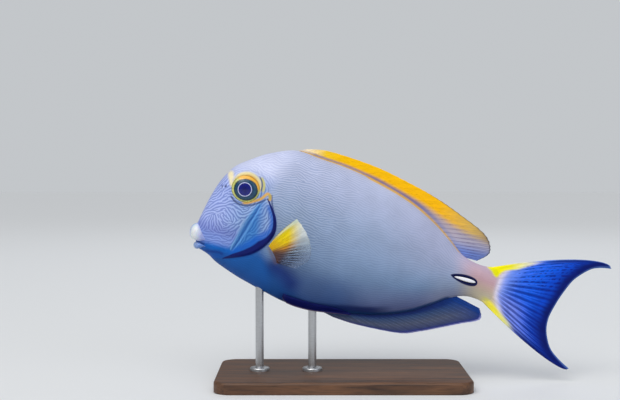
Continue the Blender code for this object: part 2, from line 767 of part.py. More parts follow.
def build_stand(trunk):
    outline = []
    for corner in range(4):
        for step in range(5):
            turn = math.pi / 2 * (corner + step / 4)
            middle_x = (BASE_LENGTH / 2 - BASE_CORNER) * (1 if corner in (0, 3) else -1)
            middle_y = (BASE_WIDTH / 2 - BASE_CORNER) * (1 if corner in (0, 1) else -1)
            outline.append((middle_x, middle_y, math.cos(turn), math.sin(turn)))
    rings = []
    for inset, z in ((0, 0), (0, BASE_HEIGHT - BASE_EDGE), (BASE_EDGE * 0.3, BASE_HEIGHT - BASE_EDGE * 0.3),
                     (BASE_EDGE, BASE_HEIGHT)):
        radius = BASE_CORNER - inset
        rings.append([(x + radius * c, y + radius * s, z) for x, y, c, s in outline])
    base = new_object("stand_base", *loft(rings), None, "stand_base")

    holes = []
    bores = []
    for name, root_x in ROD_ROOTS.items():
        x, top = world_point(root_x, belly_z(root_x))
        top += ROD_IN_BODY
        bottom = BASE_HEIGHT - ROD_IN_BASE
        profile = (
            (ROD_RADIUS - 0.4, bottom), (ROD_RADIUS, bottom + 0.4), (ROD_RADIUS, BASE_HEIGHT + GAP),
            (ROD_FOOT_RADIUS, BASE_HEIGHT + GAP), (ROD_FOOT_RADIUS, BASE_HEIGHT + GAP + ROD_FOOT_HEIGHT * 0.6),
            (ROD_FOOT_RADIUS - 1.2, BASE_HEIGHT + GAP + ROD_FOOT_HEIGHT),
            (ROD_RADIUS, BASE_HEIGHT + GAP + ROD_FOOT_HEIGHT), (ROD_RADIUS, top - 0.4), (ROD_RADIUS - 0.4, top),
        )
        rod = new_object(name, *turned(profile, x))
        paint(rod, "stand_rod", 0.3, 1.0)
        wide = ROD_RADIUS + GAP
        holes.append(new_object("hole", *turned(((wide, bottom - GAP), (wide, BASE_HEIGHT + 5)), x)))
        bores.append(new_object("bore", *turned(((wide, BASE_HEIGHT + 5), (wide, top + GAP)), x)))
    apply_boolean(base, holes, "DIFFERENCE")
    apply_boolean(trunk, bores, "DIFFERENCE")
    paint(base, "stand_base")


def main():
    for obj in list(bpy.data.objects):
        bpy.data.objects.remove(obj)
    pose = bpy.data.objects.new("pose", None)
    bpy.context.scene.collection.objects.link(pose)
    x, z = world_point(0, 0)
    pose.location = (x * MM, 0, z * MM)
    pose.rotation_euler = (0, NOSE_UP, 0)
    bpy.context.view_layer.update()
    head, trunk, stalk = build_flesh(pose)
    build_face(pose)
    build_fins(pose)
    build_stand(trunk)
    for obj in bpy.data.objects:
        if obj.type == "MESH":
            obj.data.shade_smooth()
            obj.data.set_sharp_from_angle(angle=math.radians(35))


main()
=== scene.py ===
import math
import bmesh
import bpy
import numpy as np
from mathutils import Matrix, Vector


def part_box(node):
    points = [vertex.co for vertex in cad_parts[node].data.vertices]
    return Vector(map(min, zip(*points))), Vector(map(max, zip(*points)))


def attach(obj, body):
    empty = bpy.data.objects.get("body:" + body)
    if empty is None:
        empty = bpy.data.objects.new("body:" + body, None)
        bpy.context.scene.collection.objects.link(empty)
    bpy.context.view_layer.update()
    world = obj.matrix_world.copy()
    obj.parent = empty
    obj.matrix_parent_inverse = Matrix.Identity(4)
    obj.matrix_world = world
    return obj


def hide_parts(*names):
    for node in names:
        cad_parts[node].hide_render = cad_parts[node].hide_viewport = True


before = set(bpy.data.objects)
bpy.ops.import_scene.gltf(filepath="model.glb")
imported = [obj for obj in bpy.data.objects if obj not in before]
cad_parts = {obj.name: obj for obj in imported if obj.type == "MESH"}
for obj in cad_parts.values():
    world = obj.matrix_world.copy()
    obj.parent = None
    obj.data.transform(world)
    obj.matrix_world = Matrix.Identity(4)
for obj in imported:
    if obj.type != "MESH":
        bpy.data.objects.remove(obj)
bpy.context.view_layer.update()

fishPose = {"noseUp": 16.0, "eyeX": 26.0, "eyeZ": 35.1}


def placeOfSnout():
    low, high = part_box("eye_left")
    middle = (low + high) * 500
    turn = math.radians(fishPose["noseUp"])
    x = middle.x - fishPose["eyeX"] * math.cos(turn) - fishPose["eyeZ"] * math.sin(turn)
    z = middle.z + fishPose["eyeX"] * math.sin(turn) - fishPose["eyeZ"] * math.cos(turn)
    return x, z


snoutX, snoutZ = placeOfSnout()


def toWorld(points):
    points = np.asarray(points, float).reshape(-1, 3)
    turn = math.radians(fishPose["noseUp"])
    x, y, z = points.T
    world = (snoutX + x * math.cos(turn) + z * math.sin(turn), y,
             snoutZ - x * math.sin(turn) + z * math.cos(turn))
    return np.stack(world, 1) / 1000


def toLinear(hexColour):
    parts = [int(hexColour[i:i + 2], 16) / 255 for i in (1, 3, 5)]
    return np.array([c / 12.92 if c <= 0.04045 else ((c + 0.055) / 1.055) ** 2.4 for c in parts])


def ease(low, high, value):  # 0 up to low, 1 from high on, smooth between
    share = np.clip((np.asarray(value, float) - low) / (high - low), 0, 1)
    return share * share * (3 - 2 * share)


def bump(width, value):  # a rounded ridge of that half width
    return np.exp(-(np.asarray(value, float) / width) ** 2)


def curveAt(rows, t):  # a smooth curve through rows, t counts them from 0
    rows = np.asarray(rows, float)
    last = len(rows) - 1
    t = np.clip(np.asarray(t, float), 0, last)
    i = np.minimum(t.astype(int), last - 1)
    f = (t - i)[..., None]
    a, b, c, d = (rows[np.clip(i + k, 0, last)] for k in (-1, 0, 1, 2))
    bend = (2 * a - 5 * b + 4 * c - d) * f ** 2 + (3 * b - a - 3 * c + d) * f ** 3
    return 0.5 * (2 * b + (c - a) * f + bend)


def smoothLine(rows, steps=60):
    return curveAt(rows, np.linspace(0, len(rows) - 1, steps))


def alongCurve(rows, share):  # the columns of a smooth curve through rows, share runs from 0 to 1
    return np.moveaxis(curveAt(rows, share * (len(rows) - 1)), -1, 0)


def fullTurn(sides):
    return np.linspace(0, math.tau, sides, endpoint=False)[None, :]


def asPoints(x, y, z):
    return np.stack(np.broadcast_arrays(x, y, z), -1)


def reachOf(line, x, z, endless=False):
    # distance from each point to a line in side view, positive on the tail's side of a line
    # that runs downwards, and how far along the line the nearest point lies; an endless line
    # runs straight on past both ends
    line = smoothLine(line)
    far = 1000.0 if endless else 0.0
    best = np.full(x.shape, 1e9)
    side = np.ones(x.shape)
    share = np.zeros(x.shape)
    for i in range(len(line) - 1):
        ax, az = line[i]
        dx, dz = line[i + 1] - line[i]
        f = np.clip(((x - ax) * dx + (z - az) * dz) / (dx * dx + dz * dz),
                    -far * (i == 0), 1 + far * (i == len(line) - 2))
        away = np.hypot(x - ax - f * dx, z - az - f * dz)
        nearer = away < best
        best = np.where(nearer, away, best)
        side = np.where(nearer, np.sign((z - az) * dx - (x - ax) * dz), side)
        share = np.where(nearer, (i + f) / (len(line) - 1), share)
    return best * np.where(side == 0, 1, side), share


def toneRamp(value, stops):
    places = [s[0] for s in stops]
    tones = np.array([toLinear(s[1]) for s in stops])
    return np.stack([np.interp(value, places, tones[:, k]) for k in range(3)], -1)


def paintOver(tones, *layers):  # each layer is a mask from 0 to 1 and the tone or tones that it brings
    for mask, tone in layers:
        tone = toLinear(tone) if isinstance(tone, str) else tone
        tones = tones + np.asarray(mask)[..., None] * (tone - tones)
    return tones


def withAlpha(tones):
    tones = tones.reshape(-1, 3)
    return np.concatenate([np.clip(tones, 0, 1), np.ones((len(tones), 1))], 1)


def addObject(name, data):
    thing = bpy.data.objects.new(name, data)
    bpy.context.scene.collection.objects.link(thing)
    return thing


def faceOut(mesh):
    work = bmesh.new()
    work.from_mesh(mesh)
    bmesh.ops.recalc_face_normals(work, faces=work.faces)
    work.to_mesh(mesh)
    work.free()


def makePiece(name, points, faces, attributes=None, edges=(), place=toWorld):
    mesh = bpy.data.meshes.new(name)
    mesh.from_pydata(place(points).tolist(), list(edges), faces)
    kinds = {1: ("FLOAT", "value"), 3: ("FLOAT_VECTOR", "vector"), 4: ("FLOAT_COLOR", "color")}
    for key, values in (attributes or {}).items():
        values = np.asarray(values, np.float32)
        kind, field = kinds[1 if values.ndim == 1 else values.shape[1]]
        mesh.attributes.new(key, kind, "POINT").data.foreach_set(field, values.ravel())
    if faces:
        faceOut(mesh)
    mesh.shade_smooth()
    return addObject(name, mesh)


def putInFrame(piece, nodes, material=None):
    if material:
        piece.data.materials.clear()
        piece.data.materials.append(material)
    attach(piece, "root")
    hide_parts(*nodes)


def gridFaces(rows, columns, closed=False):
    faces = []
    for i in range(rows - 1):
        for j in range(columns if closed else columns - 1):
            a, b = i * columns + j, i * columns + (j + 1) % columns
            faces.append((a, b, b + columns, a + columns))
    return faces


def tubeFaces(rings, sides):  # closed round, with a flat cap at each end
    caps = (range(sides), range((rings - 1) * sides, rings * sides))
    return gridFaces(rings, sides, True) + [tuple(cap) for cap in caps]


def setInputs(node, inputs):  # an input is a value, a socket, or a node whose first output it takes
    for key, value in inputs.items():
        if isinstance(value, bpy.types.Node):
            value = value.outputs[0]
        if isinstance(value, bpy.types.NodeSocket):
            node.id_data.links.new(value, node.inputs[key])
        else:
            node.inputs[key].default_value = value


def addNode(tree, kind, inputs=None, **settings):
    node = tree.nodes.new(kind)
    for key, value in settings.items():
        setattr(node, key, value)
    setInputs(node, inputs or {})
    return node


def newMaterial(name, inputs):
    material = bpy.data.materials.new(name)
    material.use_nodes = True
    surface = material.node_tree.nodes["Principled BSDF"]
    setInputs(surface, inputs)
    return material, material.node_tree, surface


# Form of the body: back x, back z, belly x, belly z, half width, from the snout to the tail
bodyForm = {
    "sections": (
        (3.2, 7.2, 6.6, -7.0, 4.0), (4.9, 17.4, 10.5, -7.9, 6.3), (7.0, 27.0, 15.0, -9.4, 8.1),
        (10.3, 36.9, 20.0, -12.2, 9.9), (15.5, 46.0, 27.0, -14.8, 11.5), (23.5, 52.7, 35.0, -17.3, 12.9),
        (34.0, 59.6, 43.5, -19.4, 14.1), (48.5, 65.3, 54.0, -21.8, 15.1), (64.0, 64.6, 67.0, -24.2, 15.5),
        (82.0, 63.5, 83.0, -24.6, 15.0), (102.0, 60.1, 102.0, -20.9, 13.3), (122.0, 54.8, 121.0, -16.6, 10.9),
        (139.0, 47.2, 138.0, -10.1, 8.2), (151.7, 39.3, 151.0, -1.9, 6.1), (161.0, 32.9, 160.5, 5.0, 4.7),
        (169.5, 30.2, 169.0, 8.9, 3.6), (177.5, 29.9, 177.5, 9.3, 2.6), (189.0, 32.5, 189.0, 6.5, 1.6),
    ),
    "edgeSharpness": 1.12,
    "widestAbove": 0.10,
    "sideFiner": 0.28,
    "orbitFlat": 7.5,
    "orbitBlend": 18.0,
    "orbitLevel": 0.8,
}
sectionCount = len(bodyForm["sections"]) - 1
denseSections = smoothLine(bodyForm["sections"], 1500)


def backZ(x):
    return np.interp(x, denseSections[:, 0], denseSections[:, 1])


def bellyZ(x):
    return np.interp(x, denseSections[:, 2], denseSections[:, 3])


def fullness(level):
    level = np.clip(level, -1, 1)
    return (1 - level * level) ** (bodyForm["edgeSharpness"] / 2) * (1 + bodyForm["widestAbove"] * level)


def plainSideY(x, z):
    x, z = np.broadcast_arrays(np.asarray(x, float), np.asarray(z, float))
    low = np.zeros(x.shape)
    high = np.full(x.shape, float(sectionCount))
    for _ in range(30):
        middle = (low + high) / 2
        backX, back, bellyX, belly, half = np.moveaxis(curveAt(bodyForm["sections"], middle), -1, 0)
        behind = (x - backX) * (back - belly) + (z - back) * (bellyX - backX) > 0
        low = np.where(behind, middle, low)
        high = np.where(behind, high, middle)
    return half * fullness(1 - 2 * (back - z) / (back - belly))


orbitY = float(plainSideY(fishPose["eyeX"], fishPose["eyeZ"]))


def withOrbit(x, z, y):
    reach = np.hypot(x - fishPose["eyeX"], z - fishPose["eyeZ"])
    share = ease(-bodyForm["orbitBlend"], -bodyForm["orbitFlat"], -reach) * np.clip(y / 6, 0, 1)
    return y + bodyForm["orbitLevel"] * share * (orbitY - y)


def sideY(x, z):
    return withOrbit(x, z, plainSideY(x, z))


# One skin over head, gill covers, trunk and tail stalk
skinLook = {
    "rings": 372, "sides": 260,
    "ringShares": ((0, 0), (0.5, 7.0), (0.82, 13.0), (1, 16.75)),
    "gillMargin": ((39.2, 33.2), (43.6, 28.9), (47.6, 23.2), (49.4, 16.4), (48.0, 10.0), (44.4, 4.0),
                   (38.6, -1.5), (30.0, -6.0), (23.2, -8.6)),
    "cheekLine": ((37.1, 29.4), (35.6, 23.9), (33.6, 17.8), (31.8, 11.0), (30.0, 4.2), (27.6, -2.7)),
    "napeLine": ((48.0, 68.0), (43.5, 54.0), (40.5, 42.0), (39.2, 33.2)),
    "gillRise": 0.95, "gillGroove": 0.5, "cheekGroove": 0.26,
    "eyeHalfLength": 9.2, "eyeHalfHeight": 8.5, "rimReach": 8.6, "rimRise": 0.3, "socketDepth": 2.8,
    "nostrils": ((11.9, 32.6, 0.8), (13.8, 33.4, 0.95)),  # x, z, size
    "pectoralRoot": (51.5, 1.6, 4.6, 5.2),  # middle x, z, half length, half height
    # the dark patch round the tail spine, in the same order, how fast it narrows in front and
    # behind, and how it tilts from its level place on
    "leaf": (165.9, 19.3, 8.6, 2.845), "leafEnds": (0.72, 0.42), "leafTilt": 0.05, "leafLevel": 160,
    "breastLine": ((43.0, 8.0), (48.0, 1.0), (56.0, -5.0), (62.0, -10.0), (68.0, -16.5), (75.0, -26.0)),
    # painted shade along a hollow below and behind the pectoral fin's root
    "hollowShadeLine": ((55, -4.5), (59, -5.5), (63, -7.5), (67, -11)),
    # where the tail's blue begins, and the yellow's inner edge above and below it
    "blueLine": ((190.5, 34.0), (189.0, 30.4), (187.6, 27.0), (186.8, 22.0), (186.9, 16.0), (188.2, 12.0),
                 (191.0, 7.6), (194.0, 3.0)),
    "yellowAbove": ((178.0, 29.4), (180.6, 28.2), (183.0, 26.0), (185.2, 25.4), (186.8, 28.2), (188.8, 30.4),
                    (192.0, 31.9), (196.0, 33.4), (200.0, 35.9), (206.0, 39.4), (213.0, 43.0)),
    "yellowBelow": ((174.0, 11.6), (180.0, 12.0), (184.0, 11.0), (188.0, 8.8), (192.0, 5.9), (196.0, 3.2),
                    (201.0, 0.1), (208.0, -4.2)),
    # width of the dark band along the gill cover's edge, by share of its length
    "gillBand": ((0.0, -1.0), (0.1, 0.4), (0.25, 1.2), (0.4, 2.0), (0.5, 2.9), (0.6, 4.5), (0.75, 4.0),
                 (0.88, 2.4), (1.0, -0.5)),
    "gillLength": 60, "cheekLength": 33,
    # a line's mark is worked out this near to it, and everything else counts as far off
    "nearLine": 3, "farOff": 99,
    # outer edge of the yellow round the eye, by the angle from the eye's rear
    "browEdge": ((-20, 6.0), (0, 8.4), (20, 9.4), (45, 10.1), (90, 10.3), (130, 9.8), (160, 8.8), (180, 7.0)),
    # the lines' sway in radians, their distance apart in mm, from the photo, and how many to a cell
    "bodyLines": (1.5, 1.4, 3.0), "faceLines": (2.4, 1.7, 2.0),
}
# where the lines of the face run: x, z, angle in degrees from the fish's own axis
lineCombing = (
    (10, 26, 38), (15, 27, 35), (11, 21, 32), (15, 19, 30), (7, 17, 50), (6, 11, 70), (9, 8, 78),
    (12, 11, -58), (14, 12, -52), (17, 9, -50), (17, 15, -48), (20, 17, -47), (23, 16, -45), (21, 8, 24),
    (24, 9.5, 30), (26, 12, 62), (27.5, 14, 77), (28, 8, 80), (29, 3, 82), (30, 15, 78), (22, 20, -32),
    (26, 20, -25), (29, 19, -6), (25, 23, -10), (28, 24.5, 6), (31, 22, 40), (32.5, 24, 56), (17, 24, 26),
    (21, 24, 14), (12, 3, 4), (16, 3, 4), (20, 3, 6), (24, 3, 22), (15, -2, 3), (20, -3, 4), (25, -3, 8),
    (29, -4, 26), (32, 8, 80), (31, 2, 80), (34, 16, 77), (36, 22, 68), (38, 27, 60), (36, 3, 37),
    (38, 8, 40), (41, 12, 45), (42, 16, 62), (40, 21, 66), (43, 23, 72), (45, 16, 76), (40, 36, -76),
    (38, 43, -53), (33, 48, -27), (26, 50.5, 2), (19, 48, 30), (14, 42, 58), (12, 35, 66), (30, 56, 22),
    (42, 50, -20), (45, 58, 12),
)


def bodyGrid():
    shares = np.linspace(0, 1, skinLook["rings"])
    t = np.interp(shares, *zip(*skinLook["ringShares"]))[:, None]
    turn = fullTurn(skinLook["sides"])
    backX, back, bellyX, belly, half = np.moveaxis(curveAt(bodyForm["sections"], t), -1, 0)
    level = np.cos(turn + bodyForm["sideFiner"] * np.sin(2 * turn))
    down = (1 - level) / 2
    x = backX + (bellyX - backX) * down
    z = back + (belly - back) * down
    # by the tail fin the flesh thins out to the fin's own thickness
    y = np.where(np.sin(turn) >= 0, 1, -1) * withOrbit(x, z, half * fullness(level))
    y = y * np.interp(t, (15.7, skinLook["ringShares"][-1][1]), (1.0, 0.2))
    return np.broadcast_arrays(x, y, z, down)


def unrolled(x, y, z):
    # side view widened near the back and belly by the skin's own length round the edge,
    # so that lines keep their width there
    points = asPoints(x, y, z)
    step = points - np.roll(points, 1, 1)
    extra = np.linalg.norm(step, axis=2) - np.hypot(step[..., 0], step[..., 2])
    sides = x.shape[1]
    widest = sides // 4
    spare = np.zeros(x.shape)
    for j in range(widest + 1, sides // 2 + 1):
        spare[:, j] = spare[:, j - 1] + extra[:, j]
    for j in range(widest - 1, -1, -1):
        spare[:, j] = spare[:, j + 1] + extra[:, j + 1]
    spare[:, sides // 2 + 1:] = spare[:, 1:(sides + 1) // 2][:, ::-1]
    upper = (np.arange(sides) < widest) | (np.arange(sides) > sides - widest)
    outX = np.zeros(x.shape)
    outZ = np.zeros(x.shape)
    for edge, half, sign in ((0, upper, 1), (sides // 2, ~upper, -1)):
        runX = np.gradient(x[:, edge])
        runZ = np.gradient(z[:, edge])
        length = np.hypot(runX, runZ)
        outX[:, half] = (-sign * runZ / length)[:, None]
        outZ[:, half] = (sign * runX / length)[:, None]
    return x + outX * spare, z + outZ * spare


def skinFields(x, z, down):
    look = skinLook
    fields = {"height": 1 - down}
    fields["gill"], fields["gillShare"] = reachOf(look["gillMargin"], x, z, True)
    fields["cheek"], fields["cheekShare"] = reachOf(look["cheekLine"], x, z, True)
    fields["face"] = reachOf(look["napeLine"] + look["gillMargin"][1:], x, z)[0]
    fields["breast"] = reachOf(look["breastLine"], x, z)[0]
    eyeLong, eyeHigh = look["eyeHalfLength"], look["eyeHalfHeight"]
    fields["eye"] = np.hypot((x - fishPose["eyeX"]) / eyeLong, (z - fishPose["eyeZ"]) / eyeHigh)
    fields["eye"] *= (eyeLong + eyeHigh) / 2
    # the leaf is pointed in front, blunt behind and tilts down to the tail
    middleX, middleZ, halfLength, halfHeight = look["leaf"]
    u = np.clip((x - middleX) / halfLength, -1, 1)
    front, rear = look["leafEnds"]
    half = halfHeight * (1 + u) ** front * (1 - u) ** rear
    beyond = np.abs(z - middleZ + look["leafTilt"] * (x - look["leafLevel"])) - half
    fields["leaf"] = np.maximum(beyond, np.abs(x - middleX) - halfLength)
    return fields


def skinRelief(x, z, fields):
    look = skinLook
    gill = fields["gill"]
    lifted = np.sin(math.pi * np.clip(fields["gillShare"], 0.03, 0.985)) ** 0.5
    ends = ease(0.0, 0.05, fields["gillShare"]) * ease(1.0, 0.9, fields["gillShare"])
    relief = look["gillRise"] * lifted * ease(-14, -1.4, gill) * (1 - ease(-1.0, 0.1, gill)) * ends
    relief -= look["gillGroove"] * bump(0.75, gill - 0.55) * ends
    cheekEnds = ease(0.0, 0.1, fields["cheekShare"]) * ease(1.0, 0.85, fields["cheekShare"])
    relief -= look["cheekGroove"] * bump(0.7, fields["cheek"]) * cheekEnds
    relief += 0.1 * bump(2.0, fields["cheek"] + 2.2) * cheekEnds
    eye = fields["eye"]
    relief += look["rimRise"] * bump(0.75, eye - look["rimReach"])
    relief -= look["socketDepth"] * (1 - ease(7.0, 8.2, eye))
    above = ease(0, 7, z - fishPose["eyeZ"])
    relief += above * (0.45 * bump(1.4, eye - 10.0) - 0.25 * bump(0.6, eye - 11.9))
    relief -= 0.35 * bump(0.6, eye - 10.0) * ease(1, -5, z - fishPose["eyeZ"])
    for nx, nz, size in look["nostrils"]:
        away = np.hypot(x - nx, (z - nz) * 0.8)
        relief += 0.28 * bump(0.55, away - size - 0.35) - 0.9 * bump(size * 0.75, away)
    relief -= 0.9 * ease(-0.8, -1.8, fields["leaf"])
    rootX, rootZ, rootLong, rootHigh = look["pectoralRoot"]
    root = np.hypot((x - rootX) / rootLong, (z - rootZ) / rootHigh)
    relief += 0.9 * ease(1.5, 0.3, root) * ease(0.3, 2.0, gill)
    # the lateral line, a faint furrow below the back
    lateral = backZ(x) - 11.5 - 0.13 * (x - 44) * ease(44, 60, x) * ease(175, 120, x)
    relief -= 0.1 * bump(0.5, z - lateral) * ease(46, 54, x) * ease(158, 140, x)
    return relief


def combedAngle(x, z):  # which way the face's lines run, as a complex number at twice that angle
    turns = np.zeros(x.shape, complex)
    for cx, cz, angle in lineCombing:
        weight = 1 / (((x - cx) ** 2 + (z - cz) ** 2) / 9 + 0.4) ** 2
        turns += weight * np.exp(2j * math.radians(angle))
    return turns


def paintStalk(tones, x, z):
    # where the stalk meets the tail fin: a pinkish beige, yellow along both edges, cream by the blue
    look = skinLook
    blue, above, below = (reachOf(look[line], x, z)[0] for line in ("blueLine", "yellowAbove", "yellowBelow"))
    beige = toneRamp(z + 0.12 * (x - 175), ((8, "#c4b494"), (14, "#c8b69a"), (18, "#cfae9e"), (22, "#d2a6aa"),
                                            (26, "#d6b0b8"), (31, "#c9b2c6")))
    upper = toneRamp(x, ((186, "#fff400"), (192, "#fff42a"), (198, "#f7f2a6"), (204, "#e4e1da"),
                         (212, "#8f9ce0")))
    lower = toneRamp(x, ((178, "#c8b884"), (182, "#dccf60"), (186, "#f0e240"), (190, "#f6ea3c"),
                         (197, "#eeea8c"), (204, "#8f96c0")))
    return paintOver(
        tones, (ease(1.2, -1.0, blue) * ease(157, 176, x + 0.35 * (z - 20)), beige),
        (bump(1.6, blue - 0.4) * ease(180, 185, x) * 0.75, "#e3dcea"),
        (ease(-0.8, 0.8, above) * ease(176, 180, x) * (z > 24) * ease(213, 203, x), upper),
        (ease(1.4, -1.2, below) * ease(176, 184, x) * (z < 16) * ease(206, 199, x), lower))


# marks with a crisp edge, painted in this order: name, half width of a line in mm (0 for an area),
# softness in mm, colour, strength
skinMarks = (
    ("analFoot", 0, 0.9, "#0e386c", 0.9), ("backLine", 0, 0.35, "#dcb04a", 0.85),
    ("pectoralRoot", 0, 1.4, "#6a5868", 0.6), ("cheekBand", 0.9, 0.8, "#3f7cba", 0.4),
    ("cheekFront", 0.35, 0.5, "#90c2f2", 0.5), ("cheekRear", 0.4, 0.5, "#74b0f0", 0.6),
    ("cheekDark", 0.4, 0.5, "#143f90", 0.65), ("gillBright", 0, 1.6, "#0a5cc4", 0.8),
    ("gillNavy", 2.0, 0.5, "#001266", 1.0), ("gillLine", 0.5, 0.45, "#16296e", 0.7),
    ("underEye", 0.42, 0.45, "#0c2458", 0.8), ("secondArc", 0.7, 0.45, "#cfc878", 0.95),
    ("brow", 0, 0.8, "#ecdc9c", 0.95), ("browInner", 0, 0.9, "#eab450", 0.9),
    ("gap", 0.4, 0.35, "#1e3158", 0.75), ("hook", 0.8, 0.5, "#dcaa50", 0.95),
    ("hookTip", 0.8, 0.6, "#a3a05c", 0.8), ("noseSpot", 0, 1.1, "#f6e8b6", 0.92),
    # nostril and mouth: painted shade in the nostril pits and in the slit between the lips
    ("nostril", 0, 0.35, "#2c3a70", 0.75), ("mouth", 0, 0.6, "#1c3c80", 0.75),
    # socket: painted shadow round the eyeball, near black on the skin inside the socket
    ("jawLine", 0.8, 0.9, "#00287c", 0.6), ("socket", 0, 0.35, "#0c1218", 1.0),
    ("leaf", 0, 0.3, "#000a44", 1.0),
)
markLines = {
    "gillLine": ((41.6, 36.6), (42.5, 33.8), (43.8, 30.2), (46.0, 26.0)),
    "underEye": ((18.2, 29.2), (21.0, 26.8), (24.0, 25.7), (27.0, 25.5), (30.5, 26.4), (34.0, 28.3),
                 (37.0, 30.5), (39.6, 33.2)),
    "secondArc": ((32.6, 44.6), (34.9, 42.2), (36.1, 39.4), (36.3, 35.6)),
    "gap": ((31.6, 44.9), (33.9, 42.2), (34.9, 39.6), (35.0, 35.8)),
    "hook": ((25.6, 26.9), (29.0, 27.6), (33.0, 29.9), (36.2, 32.1), (38.0, 34.6), (39.2, 36.1),
             (40.8, 35.4), (41.4, 33.6), (41.2, 32.2)),
    "hookTip": ((39.6, 36.2), (41.0, 35.0), (41.3, 32.6)),
    "jawLine": ((12.0, -7.6), (16.0, -6.6), (20.0, -5.7), (24.0, -6.0)),
}


def markReaches(x, z, fields):
    # areas: how far outside, in mm. Lines: how far from the middle, signed, and from the nearer end
    look = skinLook
    gill, share, cheekShare = fields["gill"], fields["gillShare"], fields["cheekShare"]

    def asLine(reach, along, length):
        reach = np.where(np.abs(reach) < look["nearLine"], reach, look["farOff"] * np.sign(reach))
        return asPoints(reach, np.minimum(along, 1 - along) * length, 0)

    def alongCheek(offset):
        curved = offset * np.sqrt(np.sin(math.pi * np.clip(cheekShare, 0, 1)))
        return asLine(fields["cheek"] + curved, cheekShare, look["cheekLength"])

    def spot(half, *points):
        return np.abs(reachOf(points, x, z)[0]) - half

    band = np.interp(share, *zip(*look["gillBand"]))
    navy = 2 * (gill + (band - 0.5) / 2) / np.maximum((band + 0.5) / 2, 0.4)
    bright = np.maximum(-gill - band - 1.8 - 1.8 * ease(0.25, 0.5, share), gill)
    eyeX, eyeZ = x - fishPose["eyeX"], z - fishPose["eyeZ"]
    beyondBrow = np.hypot(eyeX, eyeZ) - np.interp(np.degrees(np.arctan2(eyeZ, eyeX)), *zip(*look["browEdge"]))
    pastFins = 4 * (1 - ease(84, 96, x) * ease(166, 158, x))
    marks = {
        "analFoot": z - bellyZ(x) - 1.9 + pastFins, "backLine": backZ(x) - z - 0.75 + pastFins,
        "pectoralRoot": np.where(gill > 0.6, spot(1.0, (48.4, 6.4), (51.8, 2.2), (55.0, -1.6)), 9),
        "cheekBand": alongCheek(1.2), "cheekFront": alongCheek(2.5), "cheekRear": alongCheek(-1.2),
        "cheekDark": alongCheek(0),
        "gillBright": bright + 5 * (ease(0.12, 0.0, share) + ease(0.8, 1.0, share)),
        "gillNavy": asPoints(navy, np.minimum(share, 1 - share) * look["gillLength"], 0),
        "brow": beyondBrow, "browInner": np.maximum(beyondBrow + 1.6, 3 - eyeZ - 0.3 * eyeX),
        "noseSpot": np.minimum(spot(1.8, (14.8, 41.2), (15.8, 39.4)), spot(1.2, (16.0, 38.6), (17.2, 35.8))),
        # painted shade in the nostril pits
        "nostril": np.minimum(*(np.hypot(x - nx, (z - nz) * 0.8) - size * 0.7
                                for nx, nz, size in look["nostrils"])),
        # painted shade in the slit between the lips
        "mouth": spot(0.3, (-1.0, -3.1), (10.8, -3.2)),
        # painted shadow inside the eye socket
        "socket": fields["eye"] - 8.0, "leaf": fields["leaf"],
    }
    for name, points in markLines.items():
        length = np.hypot(*np.diff(smoothLine(points), axis=0).T).sum()
        marks[name] = asLine(*reachOf(points, x, z, True), length)
    return marks


